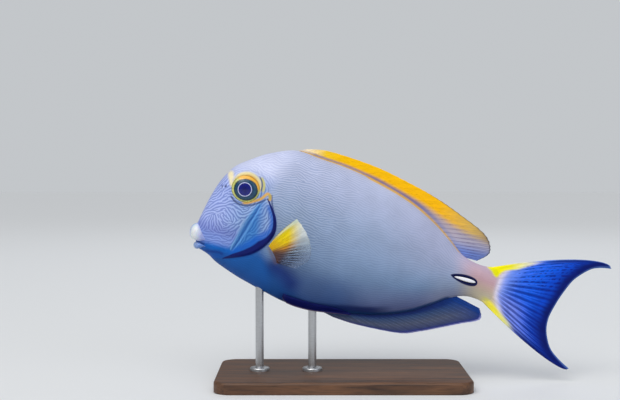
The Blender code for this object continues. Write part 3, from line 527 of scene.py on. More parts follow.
def paintSkin(x, z, fields):
    height, breast = fields["height"], fields["breast"]
    # flank tones from belly to back: the fish's own tones, with painted shade making them darker towards the
    # belly
    base = toneRamp(height, ((0, "#33426f"), (0.07, "#51618f"), (0.16, "#6a7ea4"), (0.28, "#7a91b2"),
                             (0.39, "#8b9fbe"), (0.62, "#a3b0cb"), (0.84, "#b9bdd6"), (1, "#c4c5dc")))
    hollowShade = np.abs(reachOf(skinLook["hollowShadeLine"], x, z)[0])
    base = paintOver(
        base, (ease(100, 150, x) * ease(0.3, 0.7, height) * 0.5, "#a9a6c0"),
        (ease(90, 140, x) * ease(0.32, 0.12, height) * 0.5, "#72769a"),
        (ease(140, 158, x) * ease(0.6, 0.3, height) * 0.5, "#9a9cae"),
        (ease(4, -5, breast) * ease(0.42, 0.2, height), "#145ca8"),
        # painted shade: the blue breast darker along its underside
        (ease(3, -3, breast) * ease(0.16, 0.0, height) * 0.5, "#16468e"),
        (bump(5, breast) * ease(0.3, 0.12, height) * ease(50, 56, x) * 0.6, "#17407e"),
        # painted shade on the lower belly, over the fish's own blue
        (ease(50, 58, x) * ease(118, 92, x) * ease(6, -10, z) * 0.55, "#1c4c88"),
        # painted shade along the hollow line
        (ease(9.5, -1, hollowShade) * 0.8, "#002878"),
        # dark navy along the belly's lower edge: partly the navy band at the fins' bases, partly painted
        # shade under the belly
        (ease(7, 4, z - bellyZ(x)) * ease(58, 68, x) * ease(132, 116, x) * 0.85, "#041e5a"))
    base = paintStalk(base, x, z)

    # face: lavender with a blue maze, paler on the forehead, deep blue under the chin, with painted shade
    # darkening its lowest part
    soft = np.interp(z, (28, 50), (0.3, 8.0))
    face = ease(soft, -soft, fields["face"])
    pale = ease(34, 50, z)
    rearward = ease(14, 30, x) * (1 - pale)
    cheek = ease(-3.5, -0.5, fields["cheek"]) * ease(38, 30, z) * ease(48, 40, x + 0.2 * z)
    chin = ease(0.6, -3.8, z - 0.06 * x + 0.8) * ease(5, 13, x)
    # painted shade under the head: a darker blue lower down, over the chin's own blue
    deep = ease(-3.0, -8.0, z - 0.05 * x)
    faceLight = paintOver(
        toneRamp(pale, ((0, "#b4c4f6"), (1, "#d3d9f2"))), (rearward * 0.75, "#90b0da"),
        (ease(15, 6, z) * 0.75, "#7c8cd2"), (ease(7, 2.5, z) * 0.75, "#90aaee"), (cheek, "#4a8ace"),
        (chin, "#006ecc"), (deep, "#0a56ae"))
    faceDark = paintOver(
        toneRamp(pale, ((0, "#7686cc"), (1, "#b0b7dd"))), (rearward * 0.75, "#4a6ca8"),
        (ease(9, 3, x) * 0.5, "#97a2dc"), (ease(15, 6, z) * 0.6, "#4c5cae"),
        (ease(7, 2.5, z) * 0.75, "#6a84d0"), (cheek, "#1e58a8"), (chin, "#0058b8"), (deep, "#044a9e"))
    light = paintOver(base * np.array((1.0, 1.04, 1.06)), (face, faceLight))
    dark = paintOver(base * np.array((0.63, 0.72, 0.84)), (face, faceDark))
    # how strongly the lines show
    flank = (0.30 + 0.55 * ease(108, 62, x) * ease(0.1, 0.5, height)) * ease(182, 160, x)
    faceDepth = 0.74 - 0.32 * pale - 0.4 * chin - 0.25 * cheek
    return light, dark, np.clip(flank + face * (faceDepth - flank), 0, 1)


def mazeLines(tree, place, turn, period, perCell):
    # stripes that wander, fork and end like a surgeonfish's lines; more to a cell keeps them longer
    stripes = addNode(tree, "ShaderNodeTexGabor", {
        "Vector": place, "Scale": 1 / (period * perCell), "Frequency": perCell, "Anisotropy": 0.95,
        "Orientation": turn}, gabor_type="2D")
    wave = addNode(tree, "ShaderNodeMath", {0: stripes.outputs["Phase"], 1: math.tau}, operation="MULTIPLY")
    wave = addNode(tree, "ShaderNodeMath", {0: wave}, operation="COSINE")
    return addNode(tree, "ShaderNodeMapRange", {
        "Value": wave, "From Min": -0.75, "From Max": 0.75}, interpolation_type="SMOOTHSTEP")


def paintedSkin():
    # fine-scaled skin under a thin wet film: soft sheen on the flank, small sharp lights on edges
    material, tree, surface = newMaterial("fineScaledSkin", {
        "Roughness": 0.45, "IOR": 1.4, "Specular IOR Level": 0.22, "Coat Weight": 0.06,
        "Coat Roughness": 0.2})
    given = {key: addNode(tree, "ShaderNodeAttribute", attribute_name=key).outputs[output]
             for key, output in (("unrolled", "Vector"), ("lineWay", "Vector"), ("faceShare", "Fac"),
                                 ("lineDepth", "Fac"), ("darkTone", "Color"), ("lightTone", "Color"))}
    place = given["unrolled"]
    way = addNode(tree, "ShaderNodeSeparateXYZ", {0: given["lineWay"]}).outputs
    turn = addNode(tree, "ShaderNodeMath", {0: way["Y"], 1: way["X"]}, operation="ARCTAN2")
    sway = addNode(tree, "ShaderNodeTexNoise", {"Vector": place, "Scale": 0.11, "Detail": 1.0})
    sway = addNode(tree, "ShaderNodeMath", {0: sway, 1: 0.5}, operation="SUBTRACT")
    lines = []
    for bend, period, perCell in (skinLook["bodyLines"], skinLook["faceLines"]):
        bent = addNode(tree, "ShaderNodeMath", {0: sway, 1: bend * 2, 2: turn}, operation="MULTIPLY_ADD")
        half = addNode(tree, "ShaderNodeMath", {0: bent, 1: 0.5}, operation="MULTIPLY")
        lines.append(mazeLines(tree, place, half, period, perCell))
    line = addNode(tree, "ShaderNodeMix", {0: given["faceShare"], 2: lines[0], 3: lines[1]})
    share = addNode(tree, "ShaderNodeMix", {0: given["lineDepth"], 2: 0.6, 3: line})
    colour = addNode(tree, "ShaderNodeMix", {
        0: share, 6: given["darkTone"], 7: given["lightTone"]}, data_type="RGBA")
    for name, half, soft, tone, strength in skinMarks:
        mark = addNode(tree, "ShaderNodeAttribute", attribute_name=name).outputs
        reach = mark["Fac"]
        if half:
            parts = addNode(tree, "ShaderNodeSeparateXYZ", {0: mark["Vector"]}).outputs
            reach = addNode(tree, "ShaderNodeMath", {0: parts["X"]}, operation="ABSOLUTE")
            strength = addNode(tree, "ShaderNodeMapRange", {
                "Value": parts["Y"], "From Max": 1.6, "To Max": strength})
        mask = addNode(tree, "ShaderNodeMapRange", {
            "Value": reach, "From Min": half + soft, "From Max": half - soft, "To Max": strength},
            interpolation_type="SMOOTHSTEP")
        colour = addNode(tree, "ShaderNodeMix", {
            0: mask, 6: colour.outputs[2], 7: (*toLinear(tone), 1)}, data_type="RGBA")
    cloud = addNode(tree, "ShaderNodeTexNoise", {"Vector": place, "Scale": 0.09, "Detail": 3.0})
    cloudy = addNode(tree, "ShaderNodeMapRange", {
        "Value": cloud, "From Min": 0.3, "From Max": 0.7, "To Min": 0.94, "To Max": 1.06})
    tinted = addNode(tree, "ShaderNodeMix", {
        0: 1.0, 6: colour.outputs[2], 7: cloudy}, data_type="RGBA", blend_type="MULTIPLY")
    grain = addNode(tree, "ShaderNodeTexVoronoi", {"Vector": place, "Scale": 1.6})  # scales of about 0.6 mm
    height = addNode(tree, "ShaderNodeMath", {
        0: grain.outputs["Distance"], 1: 0.35, 2: line}, operation="MULTIPLY_ADD")
    relief = addNode(tree, "ShaderNodeBump", {"Height": height, "Strength": 0.25, "Distance": 0.0001})
    setInputs(surface, {"Base Color": tinted.outputs[2], "Normal": relief})
    return material


def buildSkin():
    x, y, z, down = bodyGrid()
    fields = skinFields(x, z, down)
    u, v = unrolled(x, y, z)
    light, dark, depth = paintSkin(x, z, fields)
    # the lines follow the body's length, and on the face their own combing
    along = np.exp(2j * np.arctan2(np.gradient(v, axis=0), np.gradient(u, axis=0)))
    share = ease(5, -5, fields["face"])
    turns = combedAngle(x, z)
    turns = -(turns / np.maximum(np.abs(turns), 1e-9) * share + along * (1 - share))

    points = asPoints(x, y, z)
    normal = np.cross(np.gradient(points, axis=0), np.roll(points, -1, 1) - np.roll(points, 1, 1))
    normal /= np.maximum(np.linalg.norm(normal, axis=2, keepdims=True), 1e-9)
    outward = np.sign((normal[..., 1] * np.sign(y)).sum())
    points = points + normal * outward * skinRelief(x, z, fields)[..., None]

    def closing(edge, sizes, step):  # smaller and smaller rings past the first or last one
        middle = points[edge].mean(axis=0)
        return [middle + (points[edge] - middle) * size + np.array([step * (k + 1), 0, 0])
                for k, size in enumerate(sizes)]

    def padded(values):  # the closing rings take the values of the ring beside them
        ends = [(len(front), len(rear))] + [(0, 0)] * (values.ndim - 1)
        return np.pad(values, ends, "edge")

    front = closing(0, (0.8, 0.55, 0.25), -0.25)[::-1]
    rear = closing(-1, (0.96, 0.9), 0.1)
    points = np.concatenate([front, points, rear])
    attributes = {
        "lightTone": withAlpha(padded(light)), "darkTone": withAlpha(padded(dark)),
        "unrolled": padded(asPoints(u, v, 0)).reshape(-1, 3),
        "lineWay": padded(asPoints(turns.real, turns.imag, 0)).reshape(-1, 3),
        "lineDepth": padded(depth).ravel(), "faceShare": padded(share).ravel(),
    }
    for name, reach in markReaches(x, z, fields).items():
        reach = padded(np.clip(reach, -skinLook["farOff"], skinLook["farOff"]))
        # the closing rings at the snout's tip lie inside the mouth and take its painted shade in full
        if name == "mouth":
            reach[:len(front)] = -1
        attributes[name] = reach.reshape(-1, 3) if reach.ndim == 3 else reach.ravel()
    skin = makePiece("skin", points, tubeFaces(*points.shape[:2]), attributes)
    putInFrame(skin, ["head", "trunk", "tail_stalk", "gill_cover_left", "gill_cover_right"],
               paintedSkin())
    print("skin", len(skin.data.polygons))


buildSkin()


# Eyeballs: an oval dome with the pupil and iris in it
eyeLook = {
    "halfLength": 9.2, "halfHeight": 8.5, "halfDepth": 4.0, "bulge": 2.2, "sides": 72, "rings": 40,
    "pupilX": -0.4, "pupilZ": -0.2, "irisHalfLength": 6.95, "irisHalfHeight": 6.3, "gold": "#eeb23c",
    "rearReach": 9.5,
    # tones from the pupil's middle outwards, by reach in mm
    "stops": ((0.0, "#00065c"), (3.4, "#000c78"), (3.7, "#000a58"), (3.85, "#d4d8f6"), (4.1, "#b3bce8"),
              (4.32, "#0c3058"), (5.6, "#124a68"), (6.6, "#0a2c48"), (6.95, "#10242c"), (7.15, "#87903a"),
              (7.7, "#d5d884"), (8.6, "#a9a44a")),
}


def glossyEye():
    # domed glass over a painted iris: one sharp highlight, deep dark pupil
    material, tree, surface = newMaterial("glassEye", {
        "Roughness": 0.3, "IOR": 1.33, "Coat Weight": 1.0, "Coat Roughness": 0.02, "Coat IOR": 1.33})
    given = {key: addNode(tree, "ShaderNodeAttribute", attribute_name=key).outputs[output]
             for key, output in (("irisReach", "Fac"), ("irisPlace", "Vector"), ("goldShare", "Fac"))}
    reach = addNode(tree, "ShaderNodeMath", {0: given["irisReach"], 1: 0.1}, operation="MULTIPLY")
    ramp = addNode(tree, "ShaderNodeValToRGB", {"Fac": reach})
    stops = ramp.color_ramp.elements
    while len(stops) < len(eyeLook["stops"]):
        stops.new(0.5)
    for stop, (place, colour) in zip(stops, eyeLook["stops"]):
        stop.position = place / 10
        stop.color = (*toLinear(colour), 1)
    threads = addNode(tree, "ShaderNodeTexNoise", {"Vector": given["irisPlace"], "Scale": 9.0, "Detail": 3.0})
    shade = addNode(tree, "ShaderNodeMapRange", {
        "Value": threads, "From Min": 0.3, "From Max": 0.7, "To Min": 0.7, "To Max": 1.3})
    mixed = addNode(tree, "ShaderNodeMix", {
        0: 1.0, 6: ramp, 7: shade}, data_type="RGBA", blend_type="MULTIPLY")
    gold = addNode(tree, "ShaderNodeMix", {
        0: given["goldShare"], 6: mixed.outputs[2], 7: (*toLinear(eyeLook["gold"]), 1)}, data_type="RGBA")
    setInputs(surface, {"Base Color": gold.outputs[2]})
    return material


def buildEyes():
    look = eyeLook
    material = glossyEye()
    middleY = orbitY + look["bulge"] - look["halfDepth"]
    tilt = np.linspace(0, math.pi, look["rings"] + 2)[1:-1, None]
    turn = fullTurn(look["sides"])
    x = look["halfLength"] * np.sin(tilt) * np.cos(turn)
    z = look["halfHeight"] * np.sin(tilt) * np.sin(turn)
    depth = look["halfDepth"] * np.cos(tilt) + 0 * turn
    # in the pupil the reach is round, at the iris's edge oval as the ball
    fromX, fromZ = x - look["pupilX"], z - look["pupilZ"]
    plain = np.hypot(fromX, fromZ)
    oval = np.hypot(x - 0.2, (z + 0.1) * look["irisHalfLength"] / look["irisHalfHeight"])
    reach = plain + ease(4.4, 6.6, plain) * (oval - plain)
    reach = np.where(depth > 0, reach, look["rearReach"])
    gold = ease(6.85, 7.15, reach) * ease(2.6, 4.6, z + 0.25 * x)
    angle = np.arctan2(fromZ, fromX)
    threads = asPoints(np.cos(angle), np.sin(angle), reach * 0.06)
    attributes = {
        "irisReach": np.append(reach.ravel(), (0, look["rearReach"])),
        "goldShare": np.append(gold.ravel(), (0, 0)),
        "irisPlace": np.concatenate([threads.reshape(-1, 3), np.zeros((2, 3))])}
    # the rings close on a point at each pole
    faces = gridFaces(look["rings"], look["sides"], True)
    count = look["rings"] * look["sides"]
    for j in range(look["sides"]):
        k = (j + 1) % look["sides"]
        faces.append((j, k, count))
        faces.append((count - look["sides"] + j, count - look["sides"] + k, count + 1))
    for side, word in ((-1, "left"), (1, "right")):
        points = asPoints(x, side * (middleY + depth), z).reshape(-1, 3)
        poles = [(0, side * (middleY + sign * look["halfDepth"]), 0) for sign in (1, -1)]
        points = np.concatenate([points, poles]) + np.array((fishPose["eyeX"], 0, fishPose["eyeZ"]))
        putInFrame(makePiece("eyeball_" + word, points, faces, attributes), ["eye_" + word], material)
    print("eyes")


buildEyes()


# Lips: two tapered rolls round the mouth
# front x, z, half height, half thickness, then the same at the corner
lipLook = {
    "upper": (3.7, 2.3, 5.0, 3.7, 11.6, -0.2, 2.3, 1.4), "lower": (6.8, -5.6, 2.2, 2.4, 12.0, -4.6, 0.7, 0.8),
    "halfWidth": 5.4, "cornerDrop": 3, "cornerHeading": 78, "turns": 72, "sides": 40, "cream": "#e4e9ea",
    # lavender: painted shade where the lip turns in against the face
    "lavender": "#bcc6f0", "cornerTone": "#8c9be0", "frontTone": "#9cc0f4", "lowerTone": "#4a7cc8",
    "frontRound": 2.2, "endTaper": 0.985, "taperPower": 16, "creases": 26, "creaseTurn": 1.2, "sunk": 0.5,
}


def softLip():
    # thick wet lip skin: cream, satin, with fine upright creases
    material, tree, surface = newMaterial("lipSkin", {
        "Roughness": 0.38, "IOR": 1.42, "Coat Weight": 0.3, "Coat Roughness": 0.15, "Subsurface Weight": 0.1,
        "Subsurface Scale": 0.002})
    place = addNode(tree, "ShaderNodeAttribute", attribute_name="lipPlace").outputs["Vector"]
    tone = addNode(tree, "ShaderNodeAttribute", attribute_name="tone")
    crease = addNode(tree, "ShaderNodeTexNoise", {"Vector": place, "Scale": 1.0, "Detail": 3.0})
    tint = addNode(tree, "ShaderNodeMapRange", {
        "Value": crease, "From Min": 0.3, "From Max": 0.7, "To Min": 0.88, "To Max": 1.05})
    colour = addNode(tree, "ShaderNodeMix", {
        0: 1.0, 6: tone, 7: tint}, data_type="RGBA", blend_type="MULTIPLY")
    relief = addNode(tree, "ShaderNodeBump", {"Height": crease, "Strength": 0.3, "Distance": 0.0002})
    setInputs(surface, {"Base Color": colour.outputs[2], "Normal": relief})
    return material


def buildLips():
    look = lipLook
    material = softLip()
    # q runs from corner to corner, 0 in front
    q = np.sin(math.pi / 2 * np.linspace(-1, 1, look["turns"] + 1))[:, None]
    angle = fullTurn(look["sides"])
    back = 1 - np.sqrt(np.maximum(1 - np.abs(q) ** look["frontRound"], 0))
    taper = np.sqrt(1 - look["endTaper"] * np.abs(q) ** look["taperPower"])
    drop = np.abs(q) ** look["cornerDrop"]
    heading = q * math.radians(look["cornerHeading"])
    for word in ("upper", "lower"):
        frontX, frontZ, frontHigh, frontThick, cornerX, cornerZ, cornerHigh, cornerThick = look[word]
        high = (frontHigh + (cornerHigh - frontHigh) * drop) * taper
        out = (frontThick + (cornerThick - frontThick) * q * q) * taper * np.cos(angle)
        middleX = frontX + (cornerX - frontX) * back
        middleZ = frontZ + (cornerZ - frontZ) * drop
        # the corners lie on the skin of the snout
        width = look["halfWidth"] * np.sin(np.abs(q) * math.pi / 2)
        onSkin = sideY(middleX, middleZ) - look["sunk"]
        width = width + ease(0.5, 0.9, np.abs(q)) * np.maximum(onSkin - width, 0)
        points = asPoints(middleX - out * np.cos(heading), np.sign(q) * width + out * np.sin(heading),
                          middleZ + high * np.sin(angle))
        tones = paintOver(
            np.zeros(points.shape) + toLinear(look["cream"]),
            # painted shade on the side of the roll that turns in against the face
            (ease(0.5, -0.7, np.cos(angle) - 0.6 * np.sin(angle)) * 0.9, look["lavender"]),
            (0.9 * ease(0.1, 0.75, back), look["cornerTone"]),
            (0.7 * ease(0.5, 0.2, np.abs(q)), look["frontTone"]))
        if word == "lower":
            tones = paintOver(tones, (0.35 * ease(0.0, 1.0, np.abs(q)) + 0.55, look["lowerTone"]))
        creases = asPoints(q * look["creases"], np.sin(angle) * look["creaseTurn"], np.cos(angle))
        lip = makePiece(word + "Lip", points.reshape(-1, 3), tubeFaces(look["turns"] + 1, look["sides"]), {
            "tone": withAlpha(tones), "lipPlace": creases.reshape(-1, 3)})
        putInFrame(lip, [word + "_lip"], material)
    print("lips")


buildLips()


# Tail spines: white blades in their dark leaves
spineLook = {"tipX": 159.8, "hingeX": 173.2, "z": 19.0, "halfHeight": 1.35, "halfThick": 0.8, "proud": 0.45,
             "sunkShare": 0.8, "fullness": 1.85, "frontTaper": 0.7, "hingeTaper": 0.5,
             "steps": 40, "sides": 24}


def whiteBlade():
    # bone-like spine, smooth and slightly waxy
    material, tree, surface = newMaterial("spineBone", {"Roughness": 0.3, "Coat Weight": 0.3})
    place = addNode(tree, "ShaderNodeTexCoord").outputs["Object"]
    grain = addNode(tree, "ShaderNodeTexNoise", {"Vector": place, "Scale": 700.0, "Detail": 2.0})
    colour = addNode(tree, "ShaderNodeMix", {
        0: grain, 6: (*toLinear("#e6e6f2"), 1), 7: (*toLinear("#ffffff"), 1)}, data_type="RGBA")
    setInputs(surface, {"Base Color": colour.outputs[2]})
    return material


def buildSpines():
    look = spineLook
    material = whiteBlade()
    share = np.linspace(0.004, 0.996, look["steps"])[:, None]
    turn = fullTurn(look["sides"])
    # pointed in front, rounded at the hinge
    size = look["fullness"] * share ** look["frontTaper"] * (1 - share) ** look["hingeTaper"]
    x = look["tipX"] + (look["hingeX"] - look["tipX"]) * share
    y = sideY(x, look["z"]) + look["proud"] - look["halfThick"] * look["sunkShare"]
    y = y + look["halfThick"] * size * np.cos(turn)
    z = look["z"] + look["halfHeight"] * size * np.sin(turn)
    for side, word in ((-1, "left"), (1, "right")):
        points = asPoints(x, side * y, z).reshape(-1, 3)
        blade = makePiece("spineBlade_" + word, points, tubeFaces(look["steps"], look["sides"]))
        putInFrame(blade, ["tail_spine_" + word], material)
    print("spines")


buildSpines()


# Fins: a thin membrane, and rays laid along it by Geometry Nodes. Share runs from a fin's first ray
# to its last, row from the root to the outer edge.
finLook = {"rayEnd": 0.99, "forkThinning": 0.28, "grainAcross": 1.7, "rayGrainAcross": 3, "rayGrainAlong": 14}


def rayTree():
    tree = bpy.data.node_groups.new("finRays", "GeometryNodeTree")
    sockets = {name: tree.interface.new_socket(name, in_out="INPUT", socket_type="NodeSocket" + kind)
               for name, kind in (("Guides", "Geometry"), ("Thickness", "Float"), ("Sides", "Int"),
                                  ("Material", "Material"))}
    sockets["Thickness"].default_value = 1.0
    sockets["Sides"].default_value = 6
    tree.interface.new_socket("Rays", in_out="OUTPUT", socket_type="NodeSocketGeometry")
    start = addNode(tree, "NodeGroupInput").outputs
    curves = addNode(tree, "GeometryNodeMeshToCurve", {"Mesh": start["Guides"]})
    radius = addNode(tree, "GeometryNodeInputNamedAttribute", {"Name": "radius"}, data_type="FLOAT")
    scaled = addNode(tree, "ShaderNodeMath", {0: radius, 1: start["Thickness"]}, operation="MULTIPLY")
    profile = addNode(tree, "GeometryNodeCurvePrimitiveCircle", {"Resolution": start["Sides"], "Radius": 1.0})
    tubes = addNode(tree, "GeometryNodeCurveToMesh", {
        "Curve": curves, "Profile Curve": profile, "Scale": scaled, "Fill Caps": True})
    whole = addNode(tree, "GeometryNodeRealizeInstances", {0: tubes})
    painted = addNode(tree, "GeometryNodeSetMaterial", {0: whole, "Material": start["Material"]})
    addNode(tree, "NodeGroupOutput", {0: painted})
    return tree, {name: socket.identifier for name, socket in sockets.items()}


rayNodes, rayInputs = rayTree()


def layRays(guides, thickness, sides, material):
    modifier = guides.modifiers.new("rays", "NODES")
    modifier.node_group = rayNodes
    modifier[rayInputs["Thickness"]] = thickness
    modifier[rayInputs["Sides"]] = sides
    modifier[rayInputs["Material"]] = material
    bpy.context.view_layer.update()
    solved = bpy.data.meshes.new_from_object(guides.evaluated_get(bpy.context.evaluated_depsgraph_get()))
    guides.modifiers.remove(modifier)
    old = guides.data
    guides.data = solved
    bpy.data.meshes.remove(old)
    solved.name = guides.name
    faceOut(solved)
    solved.shade_smooth()


def finFilm(name, roughness, streaks, layers=("finPlace", "tone"), spotTone="#ffffff"):
    # thin skin stretched between rays: soft light through it, streaked along the rays
    material, tree, surface = newMaterial(name, {
        "Roughness": roughness, "IOR": 1.33, "Specular IOR Level": 0.2, "Coat Weight": 0.02,
        "Coat Roughness": 0.2})
    given = {key: addNode(tree, "ShaderNodeAttribute", attribute_name=key).outputs for key in layers}
    grain = addNode(tree, "ShaderNodeTexNoise", {
        "Vector": given["finPlace"]["Vector"], "Scale": 1.0, "Detail": 3.0})
    tint = addNode(tree, "ShaderNodeMapRange", {
        "Value": grain, "From Min": 0.3, "From Max": 0.7, "To Min": 1 - streaks, "To Max": 1 + streaks})
    colour = addNode(tree, "ShaderNodeMix", {
        0: 1.0, 6: given["tone"]["Color"], 7: tint}, data_type="RGBA", blend_type="MULTIPLY")
    if "spotShare" in layers:
        dots = addNode(tree, "ShaderNodeTexNoise", {
            "Vector": given["spotPlace"]["Vector"], "Scale": 1.0, "Detail": 1.0})
        mask = addNode(tree, "ShaderNodeMapRange", {"Value": dots, "From Min": 0.47, "From Max": 0.56})
        mask = addNode(tree, "ShaderNodeMath", {0: mask, 1: given["spotShare"]["Fac"]}, operation="MULTIPLY")
        colour = addNode(tree, "ShaderNodeMix", {
            0: mask, 6: colour.outputs[2], 7: (*toLinear(spotTone), 1)}, data_type="RGBA")
    relief = addNode(tree, "ShaderNodeBump", {"Height": grain, "Strength": 0.25, "Distance": 0.00015})
    setInputs(surface, {"Base Color": colour.outputs[2], "Normal": relief})
    if "solidShare" in layers:
        setInputs(surface, {"Alpha": given["solidShare"]["Fac"]})
    return material


def finSurface(middleOf, look, share, row):  # the pleated middle of a fin, and which way it faces
    step = 0.004  # how far off the slope is felt
    across = middleOf(np.minimum(share + step, 1), row) - middleOf(np.maximum(share - step, 0), row)
    outward = middleOf(share, np.minimum(row + step, 1)) - middleOf(share, np.maximum(row - step, 0))
    normal = np.cross(across, outward)
    normal /= np.maximum(np.linalg.norm(normal, axis=-1, keepdims=True), 1e-9)
    fold = look["pleat"] * np.cos(math.pi * share * (look["rays"] - 1)) * row * (1 - 0.5 * row)
    return middleOf(share, row) + normal * fold[..., None], normal


def buildMembrane(name, middleOf, look, side):
    rays, rows = look["rays"], look["rows"]
    columns = (rays - 1) * look["perGap"] + 1
    share, row = np.meshgrid(np.linspace(0, 1, columns), np.linspace(0, 1, rows + 1), indexing="ij")
    between = 0.5 - 0.5 * np.cos(math.tau * share * (rays - 1))  # 0 on a ray, 1 midway
    middle, normal = finSurface(middleOf, look, share, row * (1 - look["notch"] * between * row ** 3))
    half = look["halfThick"] * (1 - 0.45 * row) + look["root"] * (1 - row) ** 4
    points = np.concatenate([(middle + normal * (sign * half)[..., None]).reshape(-1, 3) for sign in (1, -1)])
    points[:, 1] *= side
    # two sheets of faces, joined all round by a narrow strip
    count = columns * (rows + 1)
    sheet = gridFaces(columns, rows + 1)
    faces = sheet + [tuple(count + v for v in face[::-1]) for face in sheet]
    border = list(range(rows)) + [i * (rows + 1) + rows for i in range(columns - 1)]
    border += [count - 1 - j for j in range(rows)] + [i * (rows + 1) for i in range(columns - 1, 0, -1)]
    faces += [(a, b, count + b, count + a) for a, b in zip(border, border[1:] + border[:1])]
    layers = look["paint"](middle[..., 0], middle[..., 2], share, row)
    layers["finPlace"] = asPoints(share * (rays - 1) * finLook["grainAcross"], row * look["streakRun"], 0)
    attributes = {key: np.concatenate([values.reshape(count, -1)] * 2).squeeze()
                  for key, values in layers.items()}
    attributes["tone"] = withAlpha(attributes["tone"])
    membrane = makePiece(name + "Membrane", points, faces, attributes)
    membrane.data.materials.append(finFilm(name + "Film", 0.45, look["streaks"], layers,
                                           look.get("spotTone", "#ffffff")))
    return membrane


def buildRays(name, middleOf, look, side):
    rays = look["rays"]
    places, edges, radii = [], [], []
    for i in range(rays):
        # a spine runs straight to its tip, a soft ray forks into two branches that lean apart
        forkAt = look["forkAt"] if i >= look["spines"] else 1
        runs = [(0, forkAt, 0)]
        if forkAt < 1:
            runs += [(forkAt, 1, 1), (forkAt, 1, -1)]
        for first, last, lean in runs:
            count = max(int(look["raySteps"] * (last - first)), 4)
            for k in range(count + 1):
                f = k / count
                along = first + (last - first) * f
                beside = i + lean * look["forkSpread"] * f ** 0.8
                if k:
                    edges.append((len(places) - 1, len(places)))
                places.append((min(max(beside / (rays - 1), 0), 1), along * finLook["rayEnd"]))
                thin = 1 - finLook["forkThinning"] * abs(lean) * f ** 0.7
                radii.append(thin * (look["rayRoot"] * (1 - along) ** 0.8 + look["rayTip"]))
    share, row = np.array(places).T
    points = finSurface(middleOf, look, share, row)[0]
    tones = look["paintRays"](points[:, 0], points[:, 2], share, row)
    points[:, 1] *= side
    place = asPoints(share * (rays - 1) * finLook["rayGrainAcross"], row * finLook["rayGrainAlong"], 0)
    guides = makePiece(name + "Rays", points, [], {
        "radius": np.array(radii) / 1000, "tone": withAlpha(tones), "finPlace": place}, edges)
    layRays(guides, 1.0, look["raySides"], finFilm(name + "RaySkin", 0.4, 0.2))
    return guides


def buildFin(name, middleOf, look, nodes, side=1):
    for build in (buildMembrane, buildRays):
        piece = build(name, middleOf, look, side)
        putInFrame(piece, nodes)
        print(piece.name, len(piece.data.polygons))


dorsalLook = {
    "rays": 35, "spines": 9, "rows": 24, "perGap": 14, "notch": 0.012, "pleat": 0.12, "halfThick": 0.16,
    "root": 0.25, "streakRun": 5.0, "streaks": 0.06, "forkAt": 0.3, "forkSpread": 0.26, "raySteps": 16,
    "rayRoot": 0.26, "rayTip": 0.09, "raySides": 8,
    "points": ((48.8, 54.5, 67.9), (57.0, 68.0, 70.3), (80.0, 96.0, 69.2), (100.0, 120.0, 65.1),
               (115.0, 137.0, 61.1), (129.0, 153.0, 55.7), (144.0, 171.5, 47.8), (155.0, 177.0, 38.6),
               (161.5, 171.0, 31.6)),
}
analLook = {
    "rays": 28, "spines": 3, "rows": 18, "perGap": 6, "notch": 0.008, "pleat": 0.12, "halfThick": 0.16,
    "root": 0.25, "streakRun": 5.0, "streaks": 0.12, "forkAt": 0.5, "forkSpread": 0.24, "raySteps": 12,
    "rayRoot": 0.26, "rayTip": 0.09, "raySides": 8,
    "points": ((88.5, 98.0, -25.0), (99.0, 113.0, -25.4), (112.0, 138.0, -23.3), (124.0, 150.0, -18.8),
               (135.0, 161.0, -13.3), (146.0, 172.0, -7.6), (156.0, 182.6, -1.9), (163.5, 180.5, 4.4)),
}


def edgeFin(points, edgeZ, sunk):
    def middleOf(share, row):
        rootX, tipX, tipZ = alongCurve(points, share)
        rootZ = edgeZ(rootX) + sunk
        return asPoints(rootX + (tipX - rootX) * row, 0, rootZ + (tipZ - rootZ) * row)
    return middleOf


def besideRay(look, share, row):  # how far off the nearest ray or branch, as a share of the gap
    phase = share * (look["rays"] - 1)
    forked = np.clip((row - look["forkAt"]) / (1 - look["forkAt"]), 0, 1)
    return np.abs(np.abs(phase - np.round(phase)) - look["forkSpread"] * forked ** 0.8)


def paintDorsal(x, z, share, row):
    # yellow along the outer edge, a purple line by the back, lavender between them towards the rear
    above = z - backZ(x)
    rear = ease(0.5, 0.95, share)
    tones = toneRamp(above, ((0.3, "#e0b04a"), (0.8, "#8f7fa0"), (1.6, "#6c68a0"), (2.6, "#8a7c9c"),
                             (3.6, "#b79a90")))
    lines = ease(0.2, 0.04, besideRay(dorsalLook, share, row))
    line = np.interp(x, (48, 60, 80, 100, 119, 130, 140, 150, 160, 170, 178),
                     (66.0, 66.4, 65.3, 62.8, 58.4, 55.6, 52.0, 48.4, 45.8, 44.0, 42.0))
    line = line + rear * (1.2 * lines - 0.4)
    soft = np.interp(x, (60, 120, 178), (0.9, 1.5, 3.0))
    yellow = ease(-soft, soft, z - line)
    gold = toneRamp(x, ((52, "#fff4dc"), (66, "#ffd024"), (76, "#ffc400"), (140, "#ffbe08"), (163, "#e0b85c"),
                        (177, "#a08c70")))
    tones = paintOver(
        tones, (rear * ease(2.2, 4.5, above + 0.02 * x), "#b2b2cc"),
        (rear * ease(42, 34, z) * 0.8, "#5078d0"), (yellow, gold),
        (rear * lines * (0.5 - 0.25 * yellow), "#4c4c78"),
        (ease(0.95, 0.99, row) * ease(0.4, 0.55, share) * 0.9, "#2c2c3c"))
    return {"tone": tones, "solidShare": 1 - 0.12 * rear * ease(0.2, 0.6, row)}


def paintDorsalRays(x, z, share, row):
    return paintDorsal(x, z, share, row * 0.9)["tone"] * np.array((0.98, 0.94, 0.96))


